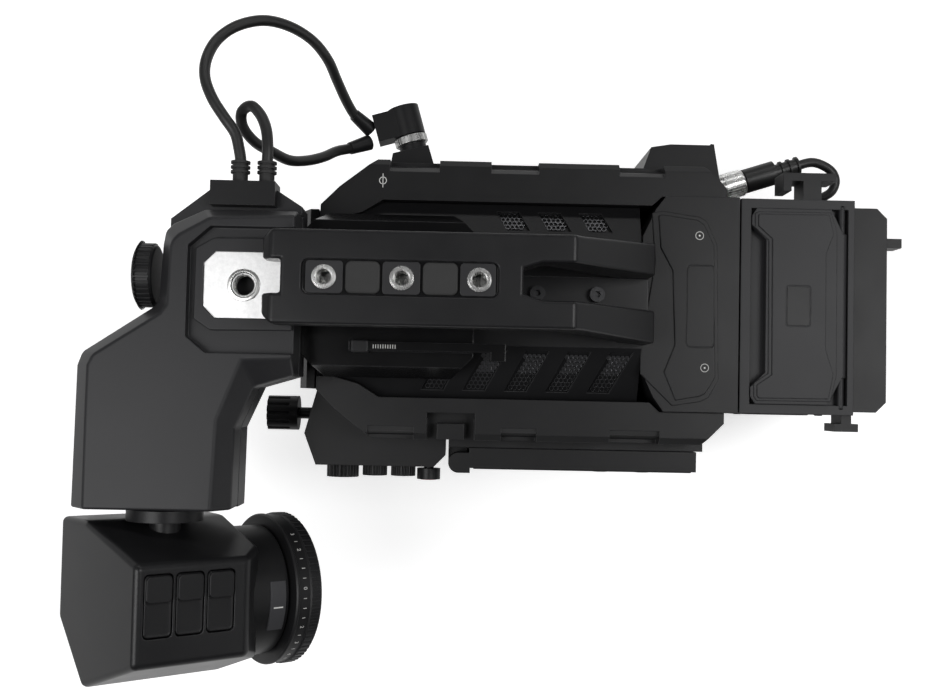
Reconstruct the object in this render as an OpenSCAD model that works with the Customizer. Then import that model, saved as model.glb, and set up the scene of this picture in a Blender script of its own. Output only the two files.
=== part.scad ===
/* [Main casing] */
// Distance from the tripod socket back to the rear face
casing_rear = 123.5; // [112:0.5:135]
// Distance from the tripod socket forward to the front wall
casing_front = 80; // [74:0.5:88]
// Width of the main casing
casing_w = 124; // [116:0.5:130]
// Wall thickness of the main casing
casing_wall = 3; // [2:0.1:4]
// Thickness of the bottom casing
base_t = 12; // [11:0.5:14]
// Height of the main casing above the base plane
casing_top = 112; // [106:0.5:118]
// Length of the cut across each front corner, along the body
front_cut_len = 30; // [24:0.5:34]
// Width of the cut across each front corner
front_cut_w = 18; // [14:0.5:20]
// Length of the cut across each rear corner, along the body
rear_cut_len = 16; // [12:0.5:20]
// Width of the cut across each rear corner
rear_cut_w = 10.5; // [8:0.5:12]

/* [Top covers] */
// Width over both top rails
rail_span = 135; // [131:0.5:140]
// Width of one rail at its top
rail_w = 20; // [17:0.5:22]
// Height of the rails above the main casing
rail_h = 20; // [16:0.5:24]
// Distance from the tripod socket forward to the rails' front end
rail_front = 78; // [76:0.5:80]
// Height of the spine above the main casing
spine_h = 26; // [22:0.5:30]
// Width of the flat spine on the top cover
spine_w = 44; // [38:0.5:50]
// Height of the top cover beside the rails
valley_h = 13; // [10:0.5:16]
// Thickness of the top cover
cover_t = 3; // [2:0.1:4]
// Depth of each air vent
vent_depth = 2; // [1:0.1:2.5]
// Length of one air vent along the body
vent_len = 11; // [8:0.5:13]
// Distance from the tripod socket back to the front edge of the rear panel
panel_front = 77; // [72:0.5:84]
// Height of the rear panel above the main casing
panel_h = 24; // [20:0.5:27]

/* [Lens mount] */
// Height of the lens axis above the base plane
lens_z = 68; // [64:0.5:72]
// Outer radius of the lens mount ring
mount_r = 33; // [31:0.1:34]
// Radius of the bore that takes a lens
mount_bore_r = 27; // [25:0.1:28]
// Thickness of the lens mount ring
mount_t = 4; // [3:0.1:5]
// Thickness of the front fascia
fascia_t = 8; // [6:0.5:9]
// Distance from the flange face to the sensor plane
flange_focal = 44; // [40:0.5:46]

/* [Filter wheel] */
// Outer radius of the filter wheel
wheel_r = 36; // [34:0.1:36.4]
// Radius of one filter opening
filter_r = 12.5; // [10:0.1:12.6]
// Thickness of the filter wheel
wheel_t = 3.5; // [2.5:0.1:4]
// Sideways offset of the wheel's axis
wheel_y = -15.3; // [-15.5:0.1:-15]
// Height of the wheel's axis
wheel_z = 53.1; // [52.5:0.1:54]
// Radius of the filter knob
nd_knob_r = 9; // [7:0.1:10]
// Length of the filter knob
nd_knob_len = 16; // [12:0.5:18]

/* [Handle] */
// Width of the handle
handle_w = 40; // [36:0.5:44]
// Height of the handle's top face above the base plane
handle_top = 205; // [202:0.5:212]
// Thickness of the handle
handle_t = 16; // [14:0.5:18]
// Distance from the tripod socket forward to the handle's front end
handle_front = 94; // [90:0.5:98]
// Distance from the tripod socket back to the handle's rear end
handle_rear = 79; // [75:0.5:84]
// Distance from the tripod socket back to the start of the sloped prongs
prong_kink = 42; // [38:0.5:48]
// Width of the gap between the prongs
prong_gap = 16; // [14:0.5:18]
// Length of the gap between the prongs
prong_gap_len = 63; // [56:0.5:66]
// Sideways offset of the handle from the centre plane
handle_y = 2.5; // [0:0.1:4]
// Height of the bracket above the body's spine
bracket_h = 19; // [14:0.5:22]
// Width of the handle bracket
bracket_w = 77; // [70:0.5:84]
// Distance between two accessory threads on the handle
insert_pitch = 32.6; // [28:0.1:34]
// Radius of an accessory thread on the handle
insert_bore_r = 3.175; // [2.5:0.001:4]
// Outer radius of a threaded insert
insert_r = 5.1; // [4.6:0.1:6]

/* [Viewfinder arm] */
// Height of the arm's top face above the bracket's
arm_rise = 30.5; // [27:0.5:31.5]
// Height of the whole arm
arm_h = 43; // [38:0.5:46]
// Height of the arm's top cover
arm_cover_h = 26; // [22:0.5:28]
// Depth of the slope round the arm's top face
arm_slope = 10; // [7:0.5:12]
// Length of the arm along the body, from its front to the handle
arm_len = 96; // [92:0.5:102]
// Length of the arm across the body
arm_span = 132; // [126:0.5:138]
// Distance from the tripod socket forward to the arm's rear end
arm_rear = 82.5; // [82.5:0.5:84]
// Radius of the viewfinder thread in the mount plate
plate_bore_r = 4.76; // [3.175:0.001:5.5]
// Thickness of the mount plate
plate_t = 9; // [7:0.5:12]
// Radius of the lock knob
lock_knob_r = 14.5; // [11:0.1:15]

/* [Viewfinder] */
// Angle that the viewfinder leans back
evf_lean = 37; // [0:1:45]
// Distance from the tripod socket forward to the viewfinder's hinge
evf_hinge_x = 139; // [134:0.5:143]
// Depth of the viewfinder's hinge below the arm's top
evf_hinge_drop = 17.5; // [15.5:0.5:21.5]
// Sideways distance from the centre plane to the eyepiece axis
evf_y = 138; // [138:0.5:144]
// Length of the viewfinder's front part before the hinge
evf_front_len = 27; // [22:0.5:32]
// Length of the viewfinder's rear part behind the hinge
evf_rear_len = 34; // [30:0.5:38]
// Half height of the viewfinder
evf_half_h = 35; // [32:0.5:38]
// Wall thickness of the viewfinder
evf_wall = 2.5; // [1.6:0.1:3]
// Outer radius of the focus ring
focus_ring_r = 35; // [32:0.1:36]
// Length of the focus ring
focus_ring_len = 14; // [10:0.5:16]
// Radius of the eyepiece barrel
barrel_r = 29; // [26:0.1:30]
// Radius of the eyepiece lens
eye_lens_r = 19; // [15:0.1:22]
// Radius of the viewfinder's hinge shaft
hinge_shaft_r = 7; // [5:0.1:9]

/* [Recorder] */
// Length of the recorder along the body
recorder_len = 56; // [50:0.5:62]
// Width of the recorder
recorder_w = 103.5; // [98:0.5:110]
// Height of the recorder
recorder_h = 126; // [118:0.5:128]
// Height of the recorder's underside above the base plane
recorder_z = 8; // [4:0.5:10]
// Wall thickness of the recorder
recorder_wall = 3; // [2:0.1:4]
// Length of the recorder's lid along the body
lid_len = 47; // [42:0.5:48]
// Width of the recorder's lid
lid_w = 94; // [88:0.5:96]
// Thickness of the recorder's lid
lid_t = 4; // [3:0.1:5]

/* [Battery plate] */
// Thickness of the battery plate
battery_t = 20; // [18:0.5:24]
// Width of the battery plate
battery_w = 100.5; // [94:0.5:104]
// Height of the battery plate
battery_h = 110; // [100:0.5:114]
// Depth of the battery slot
slot_depth = 8; // [6:0.5:10]
// Width of the battery slot at its top
slot_top_w = 52; // [48:0.5:54]
// Width of the battery slot at its foot
slot_foot_w = 38; // [34:0.5:44]
// Height of the battery slot
slot_h = 74; // [66:0.5:80]

/* [Side screen] */
// Length of the side screen
screen_len = 118; // [110:0.5:122]
// Height of the side screen
screen_h = 70; // [62:0.5:74]
// Thickness of the side screen
screen_t = 10; // [8:0.5:12]
// Height of the side screen's lower edge
screen_z = 40; // [36:0.5:42]
// Radius of the side screen's hinge
screen_hinge_r = 5; // [4:0.1:5]

/* [Side controls] */
// Width of the control block beside the main casing
control_w = 20; // [16:0.5:22]
// Length of the control block
control_len = 65; // [62:0.5:65]
// Height of the control block
control_h = 62; // [54:0.5:66]
// Height of the control block's lower edge
control_z = 44; // [40:0.5:46]
// Radius of the front dial
front_dial_r = 8.3; // [6:0.1:9]
// Length of the front dial
front_dial_len = 7; // [5:0.5:9]
// Radius of an audio knob
audio_knob_r = 6.4; // [5:0.1:7]
// Radius of the record button
record_r = 6; // [5:0.1:6.2]

/* [Cords and plugs] */
// Diameter of a viewfinder cable
evf_cable_d = 5.2; // [4:0.1:6]
// Diameter of the recorder cable
sdi_cable_d = 5; // [4:0.1:6]
// Radius of the bayonet plug's ring
bnc_ring_r = 7.2; // [6.5:0.1:8]
// Lean of the bayonet plug away from the body axis
bnc_lean = 18; // [15:1:20]
// Lean of the viewfinder plug towards the front
plug_lean = 16; // [12:1:20]

/* [Threads and screws] */
// Radius of the tripod thread
tripod_r = 4.76; // [3.175:0.001:5.5]
// Depth of the tripod thread
tripod_depth = 10; // [8:0.5:10.5]
// Radius of a socket screw's shank
screw_r = 2; // [1.5:0.05:2.5]
// Radius of a socket screw's head
screw_head_r = 3.6; // [3:0.05:4]
// Height of a socket screw's head
screw_head_h = 4; // [3:0.1:4.5]

/* [Hidden] */
$fn = 48;
fine_fn = 96;
// Overrun of a cutting shape past the face that it cuts
over = 1;
// Gap between two fixed pieces laid side by side
seam = 0.2;
// Gap between a moving piece and its neighbour
move_gap = 0.4;
// Radial clearance of a shaft in its bore
shaft_gap = 0.05;

casing_half = casing_w / 2;
rail_half = rail_span / 2;
rail_top = casing_top + rail_h;
rail_in = rail_half - rail_w;
spine_z = casing_top + spine_h;
panel_z = casing_top + panel_h;
flange_x = -(casing_front + fascia_t + mount_t);
sensor_x = flange_x + flange_focal;
recorder_x = casing_rear;
recorder_half = recorder_w / 2;
battery_x = recorder_x + recorder_len + seam;
battery_z = 12;
recorder_top = recorder_z + recorder_h;
handle_floor = handle_top - handle_t;
arm_front = -(arm_rear + arm_len);
neck_gap = 4.8;
arm_end_y = -(evf_y - focus_ring_r - neck_gap);
bracket_top = spine_z + bracket_h;
arm_top = bracket_top + arm_rise;
evf_hinge_z = arm_top - evf_hinge_drop;
arm_floor = arm_top - arm_h;
arm_split = arm_top - arm_cover_h;

function flip(points) = [for (p = points) [p[0], -p[1]]];
function grown(points, from, to, at) = [for (p = points) [at[0] + p[0] * from, at[1] + p[1] * to]];

module block(x, y, z)
  translate([x[0], y[0], z[0]])
    cube([x[1] - x[0], y[1] - y[0], z[1] - z[0]]);

module prism(points, z)
  translate([0, 0, z[0]])
    linear_extrude(z[1] - z[0])
      polygon(points);

// Extrudes an outline drawn in X and Z across the body, from y[0] to y[1]
module side_prism(points, y)
  translate([0, y[1], 0])
    rotate([90, 0, 0])
      linear_extrude(y[1] - y[0])
        polygon(points);

// Extrudes an outline drawn in Y and Z along the body, from x[0] to x[1]
module end_prism(points, x)
  translate([x[0], 0, 0])
    rotate([90, 0, 90])
      linear_extrude(x[1] - x[0])
        polygon(points);

module rod_x(x, y, z, r)
  translate([x[0], y, z])
    rotate([0, 90, 0])
      cylinder(r = r, h = x[1] - x[0]);

module rod_y(x, y, z, r)
  translate([x, y[0], z])
    rotate([-90, 0, 0])
      cylinder(r = r, h = y[1] - y[0]);

module rod_z(x, y, z, r)
  translate([x, y, z[0]])
    cylinder(r = r, h = z[1] - z[0]);

// Solid between two outlines of as many points, both clockwise seen from above
module loft(low, high, z) {
  n = len(low);
  polyhedron(
    concat([for (p = low) [p[0], p[1], z[0]]], [for (p = high) [p[0], p[1], z[1]]]),
    concat([[for (i = [n - 1:-1:0]) i], [for (i = [0:n - 1]) n + i]],
      [for (i = [0:n - 1]) let (k = (i + 1) % n) each [[i, k, n + k], [i, n + k, n + i]]])
  );
}

// Outline of the main casing seen from above, drawn in by an inset
function casing_plan(inset) = let (
  f = -casing_front + inset, r = casing_rear - inset, h = casing_half - inset
) [
  [f, -h + front_cut_w], [f + front_cut_len, -h], [r - rear_cut_len, -h], [r, -h + rear_cut_w],
  [r, h - rear_cut_w], [r - rear_cut_len, h], [f + front_cut_len, h], [f, h - front_cut_w]
];

// Screen bay on the left wall and the connector pads
bay_t = 9.5;
bay_rear = 112;
hinge_x = -9;
hinge_drop = 2.5;
screen_y = -(casing_half + bay_t + screen_t / 2 + move_gap);
hinge_y = screen_y - hinge_drop;
screen_x = hinge_x + screen_hinge_r + move_gap;
screen_outer = screen_y - screen_t / 2;

exhaust_slot_w = 3;
exhaust_slot_h = 30;
exhaust_pitch = 6;
exhaust_count = 8;
exhaust_x = 20;
exhaust_z = 45;
small_thread_r = 3.175;
small_thread_x = 30;

module bottom_casing() {
  color("dimgray")
  difference() {
    prism(casing_plan(0), [0, base_t]);
    rod_z(0, 0, [-over, tripod_depth], tripod_r);
    for (x = [-small_thread_x, small_thread_x])
      rod_z(x, 0, [-over, base_t + over], small_thread_r);
  }
}

lens_opening_r = mount_bore_r + 1;
wall_opening_r = lens_opening_r + 2;
board_t = 1.6;

// Room for the filter gears where they pass the slanted front corner
module drive_slot()
  block([gear_x[0] - 2 * over, gear_x[1] + over], [nd_knob_y - knob_gear_r - 2 * over, idler_y - knob_gear_r],
      [idler_z - idler_gear_r - 2 * over, nd_knob_z + knob_gear_r + 2 * over]);

module main_casing() {
  color("#2b2b2d")
  difference() {
    union() {
      difference() {
        prism(casing_plan(0), [base_t, casing_top]);
        prism(casing_plan(casing_wall), [base_t - over, casing_top + over]);
      }
      block([hinge_x - screen_hinge_r, bay_rear], [-casing_half - bay_t, -casing_half + casing_wall],
          [screen_z - screen_hinge_r, casing_top]);
      rod_x([-casing_front + casing_wall / 2, gear_x[1]], idler_y, idler_z, idler_pin_r);
    }
    drive_slot();
    rod_x([-casing_front - over, -casing_front + casing_wall + over], 0, lens_z, wall_opening_r);
    for (i = [0:exhaust_count - 1])
      block([exhaust_x + i * exhaust_pitch, exhaust_x + i * exhaust_pitch + exhaust_slot_w],
          [casing_half - casing_wall - over, casing_half + over],
          [exhaust_z, exhaust_z + exhaust_slot_h]);
  }
}

fascia_top = casing_top + rail_h * 0.4;
fascia_half = casing_half - front_cut_w;
fascia_slope = fascia_t;
release_r = 4.5;
release_gap = 0.5;
release_drop = 14;
release_y = -mount_r - release_r - release_gap;
release_z = lens_z - release_drop;
release_rise = 3;
release_floor = 1.5;
release_travel = 2;

module front_fascia() {
  color("#242426")
  difference() {
    side_prism([
      [-casing_front - fascia_t, base_t], [-casing_front, base_t], [-casing_front, fascia_top],
      [-casing_front - fascia_t + fascia_slope / 2, fascia_top],
      [-casing_front - fascia_t, fascia_top - fascia_slope]
    ], [-fascia_half, fascia_half]);
    rod_x([-casing_front - fascia_t - over, -casing_front + over], 0, lens_z, lens_opening_r);
    rod_x([-casing_front - fascia_t - over, -casing_front - release_floor], release_y, release_z,
        release_r + shaft_gap);
    for (a = screw_angles)
      translate([0, 0, lens_z])
        rotate([a, 0, 0])
          rod_x([-casing_front - fascia_t - over, -casing_front - fascia_t + screw_len - mount_t / 2 + over],
              screw_circle_r, 0, screw_r);
  }
}

screw_angles = [45, 135, 225, 315];
screw_circle_r = (mount_r + mount_bore_r) / 2;
screw_len = 6;

module lens_mount_ring() {
  color("silver")
  difference() {
    rod_x([flange_x, flange_x + mount_t], 0, lens_z, mount_r);
    rod_x([flange_x - over, flange_x + mount_t + over], 0, lens_z, mount_bore_r);
    translate([0, 0, lens_z])
      for (a = screw_angles)
        rotate([a, 0, 0])
          rod_x([flange_x - over, flange_x + mount_t + over], screw_circle_r, 0, screw_r + shaft_gap);
  }
}

// One screw with its head at the origin and its shank towards +X
module socket_screw(head_r, head_h, length) {
  difference() {
    rod_x([-head_h, 0], 0, 0, head_r);
    rotate([0, 90, 0])
      translate([0, 0, -head_h - over])
        cylinder(r = screw_r * 0.75, h = head_h / 2 + over, $fn = 6);
  }
  rod_x([0, length], 0, 0, screw_r);
}

foot_screw_x = [26, 54];

module socket_screws() {
  color("#3a3a3c") {
    for (a = screw_angles)
      translate([flange_x, 0, lens_z])
        rotate([a, 0, 0])
          translate([0, screw_circle_r, 0])
            socket_screw(screw_circle_r - mount_bore_r - seam, screw_r / 2, screw_len);
    for (x = foot_screw_x)
      translate([x, handle_y, foot_plate_z])
        rotate([0, 90, 0])
          socket_screw(screw_head_r, screw_head_h, screw_len);
  }
}

// Sensor, with its cover glass towards the lens
sensor_w = 25.3;
sensor_h = 14.3;
sensor_board_half = 28;
sensor_board_h = 48;
sensor_block_t = 8;
sensor_frame_t = 3;

module sensor_block() {
  color("#4a4038")
  difference() {
    union() {
      block([sensor_x, sensor_x + sensor_block_t], [-sensor_board_half, sensor_board_half],
          [lens_z - sensor_board_h / 2, lens_z + sensor_board_h / 2]);
      block([sensor_x - sensor_frame_t, sensor_x], [-sensor_w, sensor_w],
          [lens_z - sensor_h, lens_z + sensor_h]);
      block([sensor_x + sensor_block_t / 2, sensor_x + sensor_block_t], [-sensor_h, sensor_h],
          [base_t, lens_z]);
      rod_x([gear_x[0] - over, sensor_x + over], wheel_y, wheel_z, wheel_pin_r);
    }
    block([sensor_x - sensor_frame_t - over, sensor_x - sensor_frame_t / 2], [-sensor_w / 2, sensor_w / 2],
        [lens_z - sensor_h / 2, lens_z + sensor_h / 2]);
  }
}

board_x = [-25, 112];
board_y = -34;
board_h = 84;
chip = 22;
chip_t = 3;

module main_circuit_board() {
  color("darkgreen") {
    block(board_x, [board_y, board_y + board_t], [base_t, base_t + board_h]);
    for (i = [0:2])
      block([board_x[0] + chip + i * 1.6 * chip, board_x[0] + 2 * chip + i * 1.6 * chip],
          [board_y + board_t, board_y + board_t + chip_t], [lens_z - chip / 2, lens_z + chip / 2]);
  }
}

sink_x = [0, 78];
sink_y = board_y + board_t + chip_t + over;
sink_t = 5;
fin_len = 26;
fin_t = 2;
fin_pitch = 8;
fin_count = 9;
sink_z = [base_t, base_t + board_h];
fan_r = 24;
fan_t = 12;
fan_x = 40;
fan_z = 62;
fan_y = 32;
fan_hub_r = 9;
fan_post_r = 3;
fan_cage = 3;

module heat_sink() {
  color("silver")
  difference() {
    union() {
      block(sink_x, [sink_y, sink_y + sink_t], sink_z);
      for (i = [0:fin_count - 1])
        block([sink_x[0] + fin_pitch * i + fin_pitch / 2, sink_x[0] + fin_pitch * i + fin_pitch / 2 + fin_t],
            [sink_y + sink_t, sink_y + sink_t + fin_len], sink_z);
      block([fan_x - fan_r - fan_cage, fan_x + fan_r + fan_cage],
          [sink_y + sink_t + fin_len, fan_y + fan_t + move_gap],
          [fan_z - fan_r - fan_cage, fan_z + fan_r + fan_cage]);
    }
    rod_y(fan_x, [sink_y + sink_t + fin_len - over, fan_y + fan_t + over], fan_z, fan_r + move_gap * 2);
  }
  color("silver")
  rod_y(fan_x, [sink_y + sink_t, fan_y + fan_t / 2], fan_z, fan_post_r);
}

blade_t = 1.6;
blade_count = 7;
blade_turn = 32;

module fan_rotor() {
  color("#222222")
  difference() {
    union() {
      rod_y(fan_x, [fan_y, fan_y + fan_t], fan_z, fan_hub_r);
      for (i = [0:blade_count - 1])
        translate([fan_x, fan_y + fan_t / 2, fan_z])
          rotate([0, i * 360 / blade_count, 0])
            translate([fan_hub_r - blade_t, 0, 0])
              rotate([blade_turn, 0, 0])
                translate([0, -fan_t * 0.35, -blade_t / 2])
                  cube([fan_r - fan_hub_r, fan_t * 0.7, blade_t]);
    }
    rod_y(fan_x, [fan_y - over, fan_y + fan_t * 0.6], fan_z, fan_post_r + shaft_gap);
  }
}

// The top cover rises from the rails to the spine, and stops at the rear panel
top_front = rail_front - seam;
function roof_outline(h, z, drop) = [
  [-h, z], [h, z], [h, casing_top + valley_h - drop], [spine_w / 2, spine_z - drop],
  [-spine_w / 2, spine_z - drop], [-h, casing_top + valley_h - drop]
];
vent_pitch = 20;
vent_lean = 5;
vent_x = 12;
vent_y = [34, 43.5];
vent_y_left = [24, 43.5];

// One vent outline, a leaning parallelogram
function vent_plan(x, y, lean) = [
  [x, y[1]], [x + vent_len, y[1]], [x + vent_len + lean, y[0]], [x + lean, y[0]]
];
function vent_floor(y) = casing_top + valley_h
  + (spine_h - valley_h) * (rail_in - abs(y)) / (rail_in - spine_w / 2) - vent_depth;

module vent_cuts() {
  for (i = [0:2])
    intersection() {
      prism(vent_plan(vent_x + i * vent_pitch - vent_lean, vent_y, vent_lean), [casing_top, spine_z + over]);
      end_prism([
        [0, vent_floor(0)], [rail_half, vent_floor(rail_half)],
        [rail_half, spine_z + 2 * over], [0, vent_floor(0) + spine_z]
      ], [-rail_front, casing_rear]);
    }
  for (i = [-2:2])
    intersection() {
      prism(flip(vent_plan(vent_x + i * vent_pitch, vent_y_left, vent_lean * 2)),
          [casing_top, spine_z + over]);
      end_prism([
        [0, vent_floor(0)], [-rail_half, vent_floor(rail_half)],
        [-rail_half, spine_z + 2 * over], [0, vent_floor(0) + spine_z]
      ], [-rail_front, casing_rear]);
    }
}

module top_casing() {
  color("#303032")
  difference() {
    end_prism(roof_outline(rail_in - seam, casing_top, 0), [-top_front, panel_front - seam]);
    end_prism(roof_outline(rail_in - seam - cover_t, casing_top - over, cover_t + vent_depth),
          [-rail_inner_front + cover_t, panel_front - seam - cover_t]);
    for (k = [0, 1])
      mirror([0, k, 0])
        translate([0, -seam, 0])
          prism(concat(nose_plan, [
            [-rail_front - over, rail_in - nose_in], [-rail_front - over, rail_half],
            [-rail_inner_front, rail_half]
          ]), [casing_top - over, spine_z + over]);
    vent_cuts();
    for (x = foot_screw_x)
      rod_z(x, handle_y, [casing_top, spine_z + over], screw_r);
  }
}

// A rail seen from above, on the right side of the body
rail_tip_half = rail_half - front_cut_w - rail_w * 0.25;
rail_inner_front = rail_front - front_cut_len;
panel_lip = 15.75;
panel_half = rail_half - panel_lip;
nose_in = 9.5;
nose_plan = [
  [-rail_inner_front, rail_in], [-rail_inner_front - rail_w / 2, rail_in - 0.65 * nose_in],
  [-rail_front + rail_w * 0.4, rail_in - nose_in], [-rail_front, rail_in - nose_in]
];
rail_plan = [
  [-rail_front, rail_tip_half], [-rail_front + front_cut_len * 0.3, rail_tip_half + front_cut_w * 0.5],
  [-rail_front + front_cut_len * 0.9, rail_half], [casing_rear - rear_cut_len, rail_half],
  [casing_rear - rear_cut_len * 0.35, rail_half - rear_cut_w],
  [casing_rear - rear_cut_len * 0.35, panel_half + seam],
  [panel_front + rail_w / 2 - seam, panel_half + seam], [panel_front + rail_w / 4 - seam, rail_in],
  each nose_plan
];
rail_chamfer = 3;
notch_x = [-24.7, -1.7];
notch_depth = 13;
notch_floor = rail_h * 0.55;
lug_w = 13;
lug_x = (notch_x[0] + notch_x[1] - lug_w) / 2;

rail_pad_depth = 4;
right_pads = [[-45, -21], [4, 27], [66, 88]];
left_pads = [[-53, -31], [11, 28], [63, 87]];

module rail_body(pads) {
  difference() {
    prism(rail_plan, [casing_top, rail_top]);
    for (x = pads)
      end_prism([
        [rail_half - rail_chamfer - rail_pad_depth, rail_top + over],
        [rail_half - rail_pad_depth, rail_top - rail_chamfer],
        [rail_half - rail_pad_depth / 2, rail_top - rail_h / 2], [rail_half + over, rail_top - rail_h / 2],
        [rail_half + over, rail_top + over]
      ], x);
    end_prism([
      [rail_half - rail_chamfer, rail_top], [rail_half, rail_top - rail_chamfer],
      [rail_half + over, rail_top - rail_chamfer], [rail_half + over, rail_top + over],
      [rail_half - rail_chamfer, rail_top + over]
    ], [-rail_front, casing_rear]);
    block([-rail_inner_front + cover_t, casing_rear - rear_cut_len - cover_t],
        [rail_in + cover_t, rail_half - 2 * cover_t - rail_pad_depth],
        [casing_top - over, rail_top - cover_t]);
  }
}

module right_rail_cover() {
  color("#2a2a2c") rail_body(right_pads);
}

module left_rail_cover() {
  color("#2a2a2c") {
    difference() {
      mirror([0, 1, 0]) rail_body(left_pads);
      block(notch_x, [-rail_half - over, -rail_half + notch_depth],
          [rail_top - notch_floor, rail_top + over]);
    }
    block([notch_x[0] - cover_t / 2, notch_x[1] + cover_t / 2],
        [-rail_half + 2 * cover_t, -rail_half + notch_depth + cover_t / 2],
        [casing_top, rail_top - notch_floor]);
    block([lug_x, lug_x + lug_w], [-rail_half + seam, -rail_half + notch_depth * 0.6],
        [rail_top - notch_floor - seam, rail_top - notch_floor / 4]);
  }
}

rear_plan = [
  [panel_front, -panel_half * 0.62], [panel_front + rail_w * 0.3, -panel_half * 0.87],
  [panel_front + rail_w * 0.55, -panel_half], [casing_rear, -panel_half],
  [casing_rear, panel_half], [panel_front + rail_w * 0.55, panel_half],
  [panel_front + rail_w * 0.3, panel_half * 0.87], [panel_front, panel_half * 0.62]
];
label_x = [97.5, 112.5];
label_half = 20;
label_depth = 0.6;

module rear_top_panel() {
  color("#333335")
  difference() {
    prism(rear_plan, [casing_top, panel_z]);
    block([panel_front + 2 * cover_t, casing_rear - cover_t],
        [-panel_half * 0.6, panel_half * 0.6], [casing_top - over, panel_z - cover_t]);
    block(label_x, [-label_half, label_half], [panel_z - label_depth, panel_z + over]);
  }
}

bracket_front = arm_rear;
bracket_rear = 3.5;
bracket_corner = 10;
bracket_edge = 5;
slide_x = [-60, 10];
slide_y = [-26.5, -22.5];
slide_h = 9;
slide_z = [bracket_top, bracket_top + slide_h];
slide_block_x = [4, 11];
bracket_half = bracket_w / 2;

module handle_bracket() {
  color("#161618") {
    intersection() {
      prism([
        [-bracket_front, -bracket_half + bracket_corner], [-bracket_front + bracket_corner, -bracket_half],
        [-bracket_rear - bracket_corner, -bracket_half], [-bracket_rear, -bracket_half + bracket_corner],
        [-bracket_rear, bracket_half - bracket_corner], [-bracket_rear - bracket_corner, bracket_half],
        [-bracket_front + bracket_corner, bracket_half], [-bracket_front, bracket_half - bracket_corner]
      ], [spine_z, bracket_top]);
      end_prism([
        [-bracket_half + bracket_edge, spine_z], [bracket_half - bracket_edge, spine_z],
        [bracket_half, spine_z + bracket_edge], [bracket_half - bracket_edge, bracket_top],
        [-bracket_half + bracket_edge, bracket_top], [-bracket_half, spine_z + bracket_edge]
      ], [-bracket_front, -bracket_rear]);
    }
    block(slide_x, slide_y, slide_z);
    block(slide_block_x, [2 * slide_y[0] - slide_y[1], slide_y[1]], slide_z);
  }
}

// Side view of the handle: slab, front foot and sloped prongs
handle_tip = 4;
foot_front = 80;
foot_rear = 22;
prong_t = 15;
foot_plate_t = 7;
foot_plate_z = spine_z + foot_plate_t;
prong_end_z = 160;
handle_side = [
  [-handle_front, handle_floor + handle_tip], [-handle_front, handle_top - handle_tip],
  [-handle_front + handle_tip, handle_top], [prong_kink - handle_tip, handle_top],
  [handle_rear, prong_end_z], [handle_rear, spine_z], [handle_rear - prong_t, spine_z],
  [handle_rear - prong_t, prong_end_z - prong_t], [prong_kink - prong_t, handle_floor],
  [-foot_rear, handle_floor], [-foot_rear - handle_tip, handle_floor - handle_tip],
  [-foot_rear - handle_tip, bracket_top], [-foot_front, bracket_top], [-foot_front, handle_floor],
  [-handle_front + handle_tip, handle_floor]
];
handle_half = handle_w / 2;
prong_flare = 3;
foot_half = 15;
gap_front = handle_rear - prong_gap_len;
strip_x = [-77.3, 5.9];
strip_w = 15.5;
strip_depth = 1.5;
insert_front = -67.7;
insert_x = [for (i = [0:2]) insert_front + i * insert_pitch];
notch_half = 7.2;
notch_len = 8;

module handle() {
  color("#262628")
  difference() {
    union() {
      translate([0, handle_y, 0])
        intersection() {
          side_prism(handle_side, [-handle_half - prong_flare, handle_half + prong_flare]);
          difference() {
            union() {
              prism([
                [-handle_front, -handle_half + handle_tip], [-handle_front + handle_tip, -handle_half],
                [prong_kink, -handle_half], [handle_rear, -handle_half - prong_flare],
                [handle_rear, handle_half + prong_flare], [prong_kink, handle_half],
                [-handle_front + handle_tip, handle_half], [-handle_front, handle_half - handle_tip]
              ], [handle_floor, handle_top + over]);
              prism([
                [prong_kink - 2 * prong_t, -handle_half], [prong_kink, -handle_half],
                [handle_rear, -handle_half - prong_flare], [handle_rear, handle_half + prong_flare],
                [prong_kink, handle_half], [prong_kink - 2 * prong_t, handle_half]
              ], [spine_z, handle_floor]);
              block([-foot_front, -foot_rear], [-foot_half, foot_half], [bracket_top, handle_floor]);
            }
            hull() {
              block([gap_front + notch_len, handle_rear + over], [-prong_gap / 2, prong_gap / 2],
                  [spine_z - over, handle_top + over]);
              block([gap_front, gap_front + notch_len], [-prong_gap / 3, prong_gap / 3],
                  [spine_z - over, handle_top + over]);
            }
            block([-handle_front - over, -handle_front + notch_len], [-notch_half, notch_half],
                [handle_floor - over, handle_top + over]);
          }
        }
      block([foot_screw_x[0] - 2 * screw_head_r, handle_rear],
          [handle_y - prong_gap / 2 - seam, handle_y + prong_gap / 2 + seam], [spine_z, foot_plate_z]);
    }
    translate([0, handle_y, 0]) {
      block(strip_x, [-strip_w / 2, strip_w / 2], [handle_top - strip_depth, handle_top + over]);
      for (x = insert_x)
        rod_z(x, 0, [handle_floor - over, handle_top + over], insert_r);
    }
    for (x = foot_screw_x)
      rod_z(x, handle_y, [spine_z - over, foot_plate_z + over], screw_r);
  }
}

module handle_inserts() {
  color("silver")
  for (x = insert_x)
    difference() {
      rod_z(x, handle_y, [handle_floor, handle_top], insert_r);
      rod_z(x, handle_y, [handle_floor + over, handle_top + over], insert_bore_r);
    }
}

pad_w = 14;

module handle_pads() {
  color("#111111")
  for (i = [0:1])
    let (x = (insert_x[i] + insert_x[i + 1]) / 2)
      block([x - pad_w / 2, x + pad_w / 2], [handle_y - pad_w / 2, handle_y + pad_w / 2],
          [handle_top - strip_depth, handle_top - strip_depth / 4]);
}

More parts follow.
